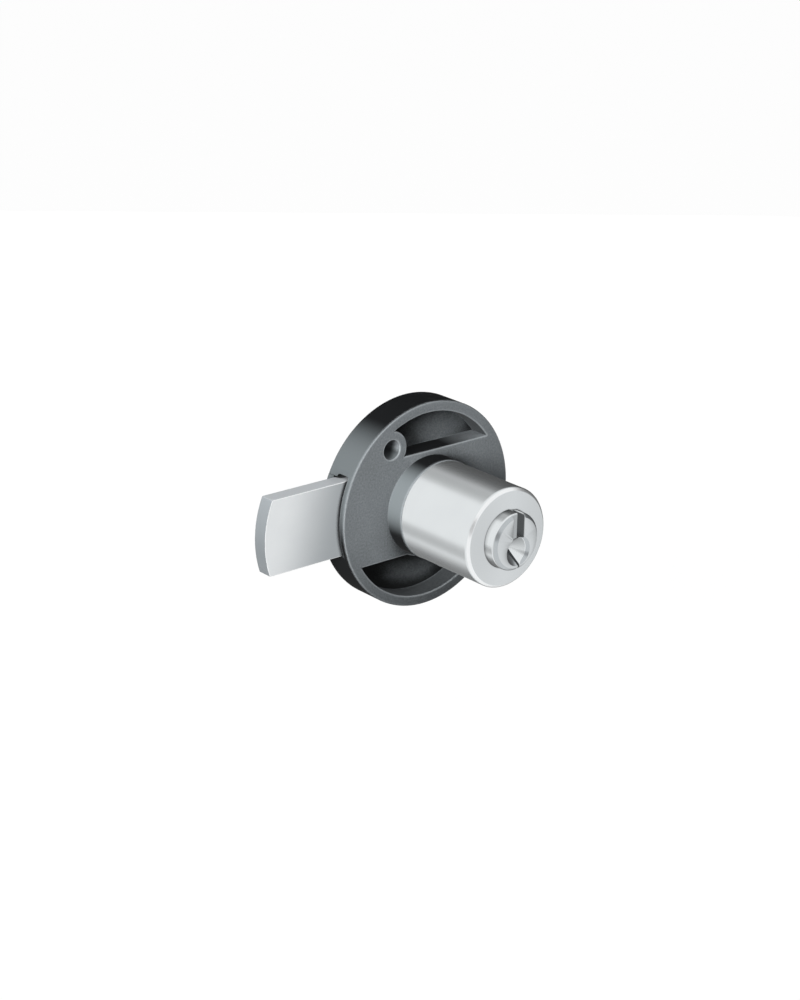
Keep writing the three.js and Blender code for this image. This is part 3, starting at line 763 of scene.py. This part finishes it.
def discSegment(radius, front, back, cuts, across=0, steps=256):
    # A flat disc along Y that planes trim. Each cut is a point and the direction that goes
    bm = bmesh.new()
    bmesh.ops.create_circle(bm, cap_ends=True, segments=steps, radius=radius)
    bmesh.ops.rotate(bm, verts=bm.verts, cent=(0, 0, 0), matrix=uprightToAlong)
    bmesh.ops.translate(bm, verts=bm.verts, vec=(across, front, 0))
    for point, outwards in cuts:
        bmesh.ops.bisect_plane(
            bm, geom=bm.verts[:] + bm.edges[:] + bm.faces[:], plane_co=point, plane_no=outwards,
            clear_outer=True,
        )
    return thickened(bm, back - front)


def looseObject(name, bm):
    mesh = bpy.data.meshes.new(name)
    bm.to_mesh(mesh)
    bm.free()
    thing = bpy.data.objects.new(name, mesh)
    scene.collection.objects.link(thing)
    return thing


def combined(bm, tools, operation="DIFFERENCE"):
    # Cuts the tools out of a solid, or joins them to it
    target = looseObject("target", bm)
    cutters = [looseObject("tool", tool) for tool in tools]
    for cutter in cutters:
        step = target.modifiers.new("step", "BOOLEAN")
        step.operation = operation
        step.solver = "EXACT"
        step.object = cutter
    result = bmesh.new()
    result.from_object(target, bpy.context.evaluated_depsgraph_get())
    for thing in [target, *cutters]:
        mesh = thing.data
        bpy.data.objects.remove(thing)
        bpy.data.meshes.remove(mesh)
    return tidied(result)


def rounded(bm, test, width, segments=3):
    # Bevels the sharp edges whose two ends both pass a test of their place. Edges much shorter than
    # the bevel are closed up first, as they would hold the whole bevel back.
    def chosen():
        return [
            edge for edge in bm.edges
            if len(edge.link_faces) == 2 and edge.calc_face_angle(0) > sharpAngle
            and all(test(vert.co) for vert in edge.verts)
        ]
    limit = min(crumb, width / 2)
    ends = {vert for edge in chosen() if edge.calc_length() < limit for vert in edge.verts}
    bmesh.ops.remove_doubles(bm, verts=[vert for vert in bm.verts if vert in ends], dist=limit)
    bmesh.ops.bevel(
        bm, geom=chosen(), offset=width, offset_type="OFFSET", segments=segments, profile=0.5,
        affect="EDGES", clamp_overlap=True, material=-1,
    )
    return tidied(bm)


def fromAxis(co):
    return math.hypot(co.x, co.z)


def onRing(radius, along):
    return lambda co: abs(fromAxis(co) - radius) < near and abs(co.y - along) < near


def finishPiece(name, bm, body, node, material):
    # Brings a solid to metres, shades it, and hands it to the frame in place of its CAD node
    loose = sum(1 for edge in bm.edges if len(edge.link_faces) != 2)
    bmesh.ops.scale(bm, vec=(mm, mm, mm), verts=bm.verts)
    piece = looseObject(name, bm)
    piece.data.shade_smooth()
    piece.data.set_sharp_from_angle(angle=sharpAngle)
    level = piece.modifiers.new("flatFaces", "WEIGHTED_NORMAL")
    level.keep_sharp = True
    piece.data.materials.append(material)
    # As in the photo, silver pieces mirror the white studio and not the black case behind them
    piece.visible_glossy = False
    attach(piece, body)
    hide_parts(node)
    print(name, "made:", len(piece.data.polygons), "faces,", loose, "open edges")


# Places that the frame gives, in millimetres

def boxOf(node):
    low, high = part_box(node)
    return low / mm, high / mm


def middleOf(node):
    low, high = boxOf(node)
    return (low + high) / 2


caseLow, caseHigh = boxOf("case")
sleeveLow, sleeveHigh = boxOf("cylinder_sleeve")
plugLow, plugHigh = boxOf("plug")
boltLow, boltHigh = boxOf("bolt")
coverLow, coverHigh = boxOf("back_cover")
coverScrewMiddles = [middleOf(f"cover_screw_{i}") for i in (1, 2)]
coverScrewPlaces = [(place.x, place.z) for place in coverScrewMiddles]


# Holes and screws

screwSizes = {
    "cover": {"shank": 1, "head": 1.9, "length": 3.6},
    "sleeve": {"shank": 0.95, "head": 1.8, "length": 4.45},
    "play": 0.05,
    "slotWidth": 0.45,
    "slotDepth": 0.5,
    "edge": 0.06,
    "sleeveCircle": middleOf("sleeve_screw_1").x,
    "woodHole": 1.9,
    "woodHead": 2.7,
    "woodBoss": 3.5,
    "woodReach": 15.3,
    "woodAngle": math.radians(54.8),
}
woodAcross = screwSizes["woodReach"] * math.cos(screwSizes["woodAngle"])
woodHeight = screwSizes["woodReach"] * math.sin(screwSizes["woodAngle"])
woodScrewPlaces = [(-woodAcross, woodHeight), (woodAcross, -woodHeight)]


def screwHole(shank, head, front, back, across, height, steps=64):
    # The tool for a countersunk hole: the shank, then the cone that takes the head at the back
    cone = head - shank
    return spun([
        (0, front), (shank, front), (shank, back - cone), (head + overrun, back + overrun),
        (0, back + overrun),
    ], steps, across, height)


def makeScrew(name, node, sizes):
    place = middleOf(node)
    back = boxOf(node)[1].y
    shank, head = sizes["shank"], sizes["head"]
    bm = spun([
        (0, back - sizes["length"]), (shank, back - sizes["length"]),
        (shank, back - (head - shank)), (head, back), (0, back),
    ], steps=64, across=place.x, height=place.z)
    half = screwSizes["slotWidth"] / 2
    reach = head + overrun
    bm = combined(bm, [block(
        (place.x - reach, back - screwSizes["slotDepth"], place.z - half),
        (place.x + reach, back + overrun, place.z + half),
    )])
    rounded(bm, lambda co: True, screwSizes["edge"], segments=2)
    finishPiece(name, bm, "case", node, zincSteel)


for i in (1, 2):
    makeScrew(f"coverScrew{i}", f"cover_screw_{i}", screwSizes["cover"])
    makeScrew(f"sleeveScrew{i}", f"sleeve_screw_{i}", screwSizes["sleeve"])


# Case: the black die-cast body with its collar

caseSizes = {
    "radius": caseHigh.z,
    "back": caseHigh.y,
    "collarFront": caseLow.y,
    "collarRadius": 9.65,
    "collarEdge": 0.32,
    "collarRoot": 0.16,
    "collarFoot": 10.1,
    "edge": 0.32,
    "frontWall": 1.65,
    "coverFront": coverLow.y,
    "recessRadius": 18.4,
    "seatRadius": 8.15,
    "journalRadius": 3.25,
    "pocketRadius": 18,
    "pocketDepth": 4.2,
    "pocketTop": 10.6,
    "pocketBottom": 9,
    "pocketEnd": math.radians(-55),
    "pocketFillet": 0.25,
    "filletSteps": 4,
    "rim": 0.16,
    "holeRim": 0.12,
    "coverScrewDepth": 3.8,
    "pegRadius": 1.2,
    "pegPlaces": [(7.612, 14.3), (-8.955, -13.5)],
    "channelLeft": -16.099,
    "channelStep": 6.601,
    "channelTop": 8.7,
    "channelBottom": -7.1,
    "channelRadius": 18.3,
    "tailTop": 6.5,
    "tailBottom": -4.9,
    "notchTop": 8.28,
    "notchBottom": -6.5,
    "notchFront": 1.3,
    "notchRight": -15.9,
    "notchCorner": 0.5,
    "reliefTop": 8.8,
    "reliefBack": 4.2,
    "notchRim": 0.14,
}


def pocketOutline(edge, inset, sizes):
    # The outline of the upper hollow, drawn in by an inset: the outer arc, the screw's round boss,
    # and the straight wall, which swells round the collar where it comes closer than that.
    radius, boss = sizes["pocketRadius"] - inset, screwSizes["woodBoss"] + inset
    floor, foot = edge + inset, sizes["collarFoot"] + inset
    reach, across, height = screwSizes["woodReach"], *woodScrewPlaces[0]
    turn = math.acos((radius ** 2 + reach ** 2 - boss ** 2) / (2 * radius * reach))
    outerEnd = math.atan2(height, across) - turn
    outline = arc(radius, math.asin(floor / radius), outerEnd, steps=72)
    start = math.atan2(
        radius * math.sin(outerEnd) - height, radius * math.cos(outerEnd) - across,
    )
    end = max(math.asin(max(-1, (floor - height) / boss)), sizes["pocketEnd"])
    bossArc = arc(boss, start, end, steps=28, across=across)
    outline += [(x, z + height) for x, z in bossArc[1:]]
    if end == sizes["pocketEnd"]:
        outline.append((outline[-1][0], floor))
    if foot > floor:
        swell = math.asin(floor / foot)
        outline += arc(foot, math.pi - swell, swell, steps=28)
    return outline


def pocketTool(side, sizes):
    # One of the two hollows in the face, with its rim rounded and a fillet round its floor. The
    # lower one is the upper one turned half round.
    edge = sizes["pocketTop"] if side > 0 else sizes["pocketBottom"]
    depth, fillet = sizes["pocketDepth"], sizes["pocketFillet"]
    steps = [(along, -wide) for along, wide in flare(sizes["rim"])]
    for i in range(sizes["filletSteps"] + 1):
        angle = math.pi / 2 * i / sizes["filletSteps"]
        steps.append((
            depth - fillet + fillet * math.sin(angle), fillet - fillet * math.cos(angle),
        ))
    return lofted([
        [(side * x, along, side * z) for x, z in pocketOutline(edge, inset, sizes)]
        for along, inset in steps
    ])


def channelTool(sizes):
    # The bolt's way through the case: the wide part for its shoulders and the narrow part for its
    # tail
    top = math.asin(sizes["tailTop"] / sizes["channelRadius"])
    bottom = math.asin(sizes["tailBottom"] / sizes["channelRadius"])
    left, step = sizes["channelLeft"], sizes["channelStep"]
    outline = [
        (left, sizes["channelBottom"]), (step, sizes["channelBottom"]),
        (step, sizes["tailBottom"]), *arc(sizes["channelRadius"], bottom, top, steps=32),
        (step, sizes["tailTop"]), (step, sizes["channelTop"]), (left, sizes["channelTop"]),
    ]
    return plate(outline, sizes["frontWall"], sizes["back"] + overrun)


def notchTool(sizes):
    # The notch in the rim that the bolt comes out of
    return block(
        (-sizes["radius"] - overrun, sizes["notchFront"], sizes["notchBottom"]),
        (sizes["notchRight"], sizes["back"] + overrun, sizes["notchTop"]),
    )


def reliefTool(sizes):
    # The notch's rounded relief above the bolt, behind the face
    bm = block(
        (-sizes["radius"] - overrun, sizes["notchFront"], 0),
        (sizes["notchRight"], sizes["reliefBack"], sizes["reliefTop"]),
    )
    return rounded(bm, lambda co: co.z > sizes["notchTop"], sizes["notchCorner"], segments=5)


def roundHole(radius, back, across, height, sizes):
    # A hole through from the face, with its rim rounded
    rim = [(radius + wide, along) for along, wide in flare(sizes["holeRim"])]
    profile = [(0, -overrun), *rim, (radius, back), (0, back)]
    return spun(profile, steps=96, across=across, height=height)


def makeCase(sizes):
    bm = spun([
        (sizes["journalRadius"], 0), (sizes["seatRadius"], 0),
        (sizes["seatRadius"], sizes["collarFront"]), (sizes["collarRadius"], sizes["collarFront"]),
        (sizes["collarRadius"], 0), (sizes["radius"], 0), (sizes["radius"], sizes["back"]),
        (sizes["recessRadius"], sizes["back"]), (sizes["recessRadius"], sizes["coverFront"]),
        (sizes["journalRadius"], sizes["coverFront"]),
    ], steps=256)
    for radius, along, width in (
        (sizes["radius"], 0, sizes["edge"]), (sizes["radius"], sizes["back"], sizes["edge"]),
        (sizes["collarRadius"], sizes["collarFront"], sizes["collarEdge"]),
    ):
        rounded(bm, onRing(radius, along), width, segments=4)
    rounded(bm, onRing(sizes["collarRadius"], 0), sizes["collarRoot"], segments=3)
    back = sizes["back"] + overrun
    tools = [
        channelTool(sizes), notchTool(sizes), reliefTool(sizes), pocketTool(1, sizes),
        pocketTool(-1, sizes),
    ]
    for across, height in woodScrewPlaces:
        tools.append(roundHole(screwSizes["woodHole"], back, across, height, sizes))
    for across, height in coverScrewPlaces:
        radius = screwSizes["cover"]["shank"] + screwSizes["play"]
        front = sizes["back"] - sizes["coverScrewDepth"]
        tools.append(bar(radius, front, back, across, height, steps=32))
    for side in (1, -1):
        tools.append(screwHole(
            screwSizes["sleeve"]["shank"] + screwSizes["play"],
            screwSizes["sleeve"]["head"] + screwSizes["play"],
            -overrun, sizes["frontWall"], side * screwSizes["sleeveCircle"], 0, steps=32,
        ))
    bm = combined(bm, tools)
    bm = combined(bm, [
        bar(
            sizes["pegRadius"], sizes["coverFront"] - overrun, sizes["back"], across, height,
            steps=48,
        )
        for across, height in sizes["pegPlaces"]
    ], "UNION")
    rounded(
        bm, lambda co: abs(fromAxis(co) - sizes["radius"]) < near and co.x < 0
        and sizes["notchBottom"] - near < co.z < sizes["reliefTop"] + near
        and sizes["notchFront"] - near < co.y < sizes["coverFront"] + overrun,
        sizes["notchRim"], segments=3,
    )
    finishPiece("caseCasting", bm, "case", "case", zincCoat)


makeCase(caseSizes)


# Back cover: the plate behind, whose tab closes the bolt's notch

coverSizes = {
    "radius": 18.2,
    "tabRadius": 19.9,
    "tabTop": 8.2,
    "tabBottom": -6.45,
    "journalRadius": 2.05,
    "pegHole": 1.25,
    "edge": 0.1,
}


def makeCover(sizes):
    front, back = coverLow.y - overrun, coverHigh.y + overrun
    beyond = sizes["tabRadius"] + 2 * overrun
    aroundDisc = spun([
        (sizes["radius"], front), (beyond, front), (beyond, back), (sizes["radius"], back),
    ])
    tab = block(
        (-beyond - overrun, front - overrun, sizes["tabBottom"]),
        (caseSizes["channelLeft"], back + overrun, sizes["tabTop"]),
    )
    tools = [combined(aroundDisc, [tab]), bar(sizes["journalRadius"], front, back)]
    for across, height in woodScrewPlaces:
        tools.append(screwHole(
            screwSizes["woodHole"], screwSizes["woodHead"], front, coverHigh.y, across, height,
        ))
    for across, height in coverScrewPlaces:
        tools.append(screwHole(
            screwSizes["cover"]["shank"] + screwSizes["play"],
            screwSizes["cover"]["head"] + screwSizes["play"], front, coverHigh.y, across, height,
        ))
    for across, height in caseSizes["pegPlaces"]:
        tools.append(bar(sizes["pegHole"], front, back, across, height, steps=48))
    bm = combined(bar(sizes["tabRadius"], coverLow.y, coverHigh.y, steps=192), tools)
    rounded(
        bm, lambda co: abs(co.y - coverHigh.y) < near and fromAxis(co) > sizes["radius"] - near,
        sizes["edge"], segments=3,
    )
    finishPiece("coverPlate", bm, "case", "back_cover", zincCoat)


makeCover(coverSizes)


# Sleeve: the silver tube of the lock cylinder

sleeveSizes = {
    "radius": sleeveHigh.z,
    "front": sleeveLow.y,
    "bore": 5.5,
    "frontEdge": 0.6,
    "sideEdge": 0.25,
    "smallEdge": 0.1,
    "collarFront": caseLow.y,
    "spigotRadius": 8.1,
    "clipRadius": 4.55,
    "clipSeat": -1.4,
    "neckBore": 3.25,
    "boreEnd": -3.4,
    "grooveRadius": 6.35,
    "grooveHalf": 3.4,
    "grooveFront": -21,
    "grooveBack": -5.9,
    "screwDepth": 3,
}


def makeSleeve(sizes):
    bm = spun([
        (sizes["bore"], sizes["front"]), (sizes["radius"], sizes["front"]),
        (sizes["radius"], sizes["collarFront"]), (sizes["spigotRadius"], sizes["collarFront"]),
        (sizes["spigotRadius"], 0), (sizes["clipRadius"], 0),
        (sizes["clipRadius"], sizes["clipSeat"]), (sizes["neckBore"], sizes["clipSeat"]),
        (sizes["neckBore"], sizes["boreEnd"]), (sizes["bore"], sizes["boreEnd"]),
    ])
    # The front chamfer first, then the two edges that it leaves, and the other rims
    rounded(bm, onRing(sizes["radius"], sizes["front"]), sizes["frontEdge"], segments=1)
    rim, side = sizes["radius"] - sizes["frontEdge"], sizes["front"] + sizes["frontEdge"]
    rounded(bm, onRing(rim, sizes["front"]), sizes["smallEdge"], segments=3)
    rounded(bm, onRing(sizes["radius"], side), sizes["sideEdge"], segments=4)
    rounded(bm, onRing(sizes["bore"], sizes["front"]), sizes["smallEdge"], segments=2)
    rounded(bm, onRing(sizes["radius"], sizes["collarFront"]), sizes["smallEdge"], segments=2)
    half = sizes["grooveHalf"]
    grooves = combined(
        bar(sizes["grooveRadius"], sizes["grooveFront"], sizes["grooveBack"]),
        [block(
            (-half, sizes["grooveFront"] - overrun, -sizes["radius"]),
            (half, sizes["grooveBack"] + overrun, sizes["radius"]),
        )], "INTERSECT",
    )
    radius = screwSizes["sleeve"]["shank"] + screwSizes["play"]
    holes = [
        bar(radius, -sizes["screwDepth"], overrun, side * screwSizes["sleeveCircle"], steps=32)
        for side in (1, -1)
    ]
    bm = combined(bm, [grooves, *holes])
    finishPiece("cylinderTube", bm, "case", "cylinder_sleeve", satinNickel)


makeSleeve(sleeveSizes)


# Plug: the round core that the key turns

plugSizes = {
    "radius": 5.45,
    "front": plugLow.y,
    "edge": 0.7,
    "sideEdge": 0.22,
    "rear": -3.5,
    "neck": 3.2,
    "grooveFront": -1.4,
    "grooveBack": -0.85,
    "grooveRadius": 2.4,
    "neckEnd": -0.3,
    "keyLeft": 0.3,
    "keyRight": 1.7,
    "keyLowRight": 0.8,
    "keyJoin": 0.9,
    "keyHalf": 4,
    "keyEnd": -4.5,
    "mouthDepth": 3.2,
    "stepWidth": 1.4,
    "stepDepth": 0.6,
    "pitRadius": 2.8,
    "pitDepth": 4.4,
    "pitAcross": 0.3,
    "pitHeight": -1.7,
    "waferHalf": 3.4,
    "waferSlot": 1.1,
    "springPocket": 1.22,
    "springLow": -2.2,
    "springHigh": 1.6,
    "springRight": 4.7,
    "tongueHalf": 0.8,
    "tongueDepth": 2.2,
    "rim": 0.07,
}
waferPlaces = [middleOf(f"wafer_{i}").y for i in range(1, 6)]


def keywayTool(side, right, sizes):
    # The upper or lower part of the keyway, deep behind and as high as the plug at its mouth, as an
    # outline seen from the side
    front, mouth = sizes["front"] - overrun, sizes["front"] + sizes["mouthDepth"]
    tall, half = side * (sizes["radius"] + overrun), side * sizes["keyHalf"]
    start = sizes["keyJoin"] - side * overrun / 2
    bm = plate([
        (front, start), (sizes["keyEnd"], start), (sizes["keyEnd"], half), (mouth, half),
        (mouth, tall), (front, tall),
    ], -right, -sizes["keyLeft"])
    bmesh.ops.rotate(bm, verts=bm.verts, cent=(0, 0, 0), matrix=quarterTurn)
    return tidied(bm)


def makePlug(sizes):
    front, reach = sizes["front"], sizes["radius"] + overrun
    bm = spun([
        (0, front), (sizes["radius"], front), (sizes["radius"], sizes["rear"]),
        (sizes["neck"], sizes["rear"]), (sizes["neck"], sizes["grooveFront"]),
        (sizes["grooveRadius"], sizes["grooveFront"]), (sizes["grooveRadius"], sizes["grooveBack"]),
        (sizes["neck"], sizes["grooveBack"]), (sizes["neck"], sizes["neckEnd"]),
        (0, sizes["neckEnd"]),
    ], steps=128)
    rounded(bm, onRing(sizes["radius"], front), sizes["edge"], segments=1)
    rounded(bm, onRing(sizes["radius"], front + sizes["edge"]), sizes["sideEdge"], segments=3)
    keyMiddle = (sizes["keyLeft"] + sizes["keyRight"]) / 2
    step = block(
        (sizes["keyLeft"] - sizes["stepWidth"], front - overrun, sizes["pitHeight"]),
        (keyMiddle, front + sizes["stepDepth"], reach),
    )
    slope = sizes["pitRadius"] / sizes["pitDepth"]
    pit = spun([
        (0, front - overrun), (sizes["pitRadius"] + overrun * slope, front - overrun),
        (0, front + sizes["pitDepth"]),
    ], steps=128, across=sizes["pitAcross"], height=sizes["pitHeight"])
    keyway = [keywayTool(1, sizes["keyRight"], sizes), keywayTool(-1, sizes["keyLowRight"], sizes)]
    tools = [*keyway, step, pit]
    half, slot, spring = sizes["waferHalf"], sizes["waferSlot"] / 2, sizes["springPocket"] / 2
    for along in waferPlaces:
        tools.append(block((-half, along - slot, -reach), (half, along + slot, reach)))
        tools.append(block(
            (keyMiddle, along - spring, sizes["springLow"]),
            (sizes["springRight"], along + spring, sizes["springHigh"]),
        ))
    tools.append(block(
        (-reach, -sizes["tongueDepth"], -sizes["tongueHalf"]), (reach, overrun, sizes["tongueHalf"]),
    ))
    bm = combined(bm, tools)
    rounded(bm, lambda co: co.y < front + sizes["edge"] + near, sizes["rim"], segments=2)
    finishPiece("plugCore", bm, "plug", "plug", plugNickel)


makePlug(plugSizes)


# Bolt: the flat steel bar with its stop shoulders, and the rack in its tail's slot

boltSizes = {
    "throw": 16.3,
    "endRadius": 20,
    "tailRadius": 18.2,
    "headTop": 8,
    "headBottom": -6.4,
    "shoulderTop": boltHigh.z,
    "shoulderBottom": boltLow.z,
    "shoulderLeft": -15.899,
    "shoulderRight": -9.899,
    "tailTop": 6.3,
    "tailBottom": -4.7,
    "slotRadius": 3.244,
    "slotStart": math.radians(120),
    "rackRoots": 3.144,
    "rackTips": 2.144,
    "rackPitch": 2.0375,
    "teeth": 10,
    "tipHalf": 0.22,
    "rootHalf": 0.797,
    "edge": 0.22,
}


def slotTool(sizes):
    # The slot between the tail's arms. Its upper side is the outline of the rack's teeth, and its
    # rounded left end starts on the last tooth's flank
    left, right = -sizes["throw"], sizes["tailRadius"]
    low = 3 * math.pi / 2
    outline = arc(sizes["slotRadius"], sizes["slotStart"], low, steps=32, across=left)
    outline.append((right, -sizes["slotRadius"]))
    outline.append((right, sizes["rackRoots"]))
    for i in range(sizes["teeth"]):
        middle = (0.5 - i) * sizes["rackPitch"]
        outline += [
            (middle + sizes["rootHalf"], sizes["rackRoots"]),
            (middle + sizes["tipHalf"], sizes["rackTips"]),
            (middle - sizes["tipHalf"], sizes["rackTips"]),
            (middle - sizes["rootHalf"], sizes["rackRoots"]),
        ]
    outline.pop()
    return plate(outline, boltLow.y - overrun, boltHigh.y + overrun)


def makeBolt(sizes):
    front, back = boltLow.y - overrun, boltHigh.y + overrun
    wide = 2 * sizes["endRadius"] + sizes["throw"]
    bm = discSegment(sizes["endRadius"], boltLow.y, boltHigh.y, [
        ((0, 0, sizes["shoulderTop"]), (0, 0, 1)), ((0, 0, sizes["shoulderBottom"]), (0, 0, -1)),
    ], across=-sizes["throw"], steps=360)
    left, right = sizes["shoulderLeft"], sizes["shoulderRight"]
    tools = [
        block((-wide, front, sizes["headTop"]), (left, back, wide)),
        block((-wide, front, -wide), (left, back, sizes["headBottom"])),
        block((right, front, sizes["tailTop"]), (wide, back, wide)),
        block((right, front, -wide), (wide, back, sizes["tailBottom"])),
    ]
    aroundTail = spun([
        (sizes["tailRadius"], front - overrun), (wide, front - overrun),
        (wide, back + overrun), (sizes["tailRadius"], back + overrun),
    ], steps=256, across=-sizes["throw"])
    tailSide = block((0, front, -sizes["endRadius"]), (wide, back, sizes["endRadius"]))
    tools.append(combined(aroundTail, [tailSide], "INTERSECT"))
    bm = combined(bm, tools)
    rounded(bm, lambda co: True, sizes["edge"], segments=3)
    bm = combined(bm, [slotTool(sizes)])
    finishPiece("boltBar", bm, "bolt", "bolt", nickelSteel)


makeBolt(boltSizes)


# Springs: a coil of round wire under each wafer's ear

springSizes = {"turns": 4, "radius": 0.4, "wire": 0.11, "stepsPerTurn": 20, "wireSides": 10}


def makeSpring(i, sizes):
    node = f"wafer_spring_{i}"
    low, high = boxOf(node)
    place = (low + high) / 2
    rise = high.z - low.z - 2 * sizes["wire"]
    steps = sizes["turns"] * sizes["stepsPerTurn"]
    bm = bmesh.new()
    bmesh.ops.create_circle(bm, cap_ends=True, segments=sizes["wireSides"], radius=sizes["wire"])
    bmesh.ops.rotate(bm, verts=bm.verts, cent=(0, 0, 0), matrix=uprightToAlong)
    bmesh.ops.translate(bm, verts=bm.verts, vec=(sizes["radius"], 0, 0))
    bmesh.ops.spin(
        bm, geom=bm.verts[:] + bm.edges[:] + bm.faces[:], cent=(0, 0, 0), axis=(0, 0, 1),
        dvec=(0, 0, rise / steps), angle=sizes["turns"] * fullTurn, steps=steps,
        use_merge=False, use_duplicate=False,
    )
    bmesh.ops.translate(bm, verts=bm.verts, vec=(place.x, place.y, low.z + sizes["wire"]))
    finishPiece(f"waferSpring{i}", tidied(bm), "plug", node, springSteel)


for i in range(1, 6):
    makeSpring(i, springSizes)


# Wafers, clip and pinion: their CAD shapes are right, and copies of them get softened edges

def softenedCopy(name, node, width, body, material):
    bm = bmesh.new()
    bm.from_mesh(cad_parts[node].data)
    bmesh.ops.scale(bm, vec=(1 / mm, 1 / mm, 1 / mm), verts=bm.verts)
    tidied(bm)
    bmesh.ops.dissolve_limit(
        bm, angle_limit=flatAngle, verts=bm.verts, edges=bm.edges, delimit={"NORMAL"},
    )
    rounded(bm, lambda co: True, width, segments=2)
    finishPiece(name, bm, body, node, material)


softEdges = {"wafer": 0.06, "clip": 0.08, "pinion": 0.05}
for i in range(1, 6):
    softenedCopy(
        f"wafer{i}", f"wafer_{i}", softEdges["wafer"], f"wafer_{i}", stampedBrass,
    )
softenedCopy(
    "retainingRing", "retaining_clip", softEdges["clip"], "plug", springSteel,
)
softenedCopy("pinion", "drive_pinion", softEdges["pinion"], "plug", zincSteel)
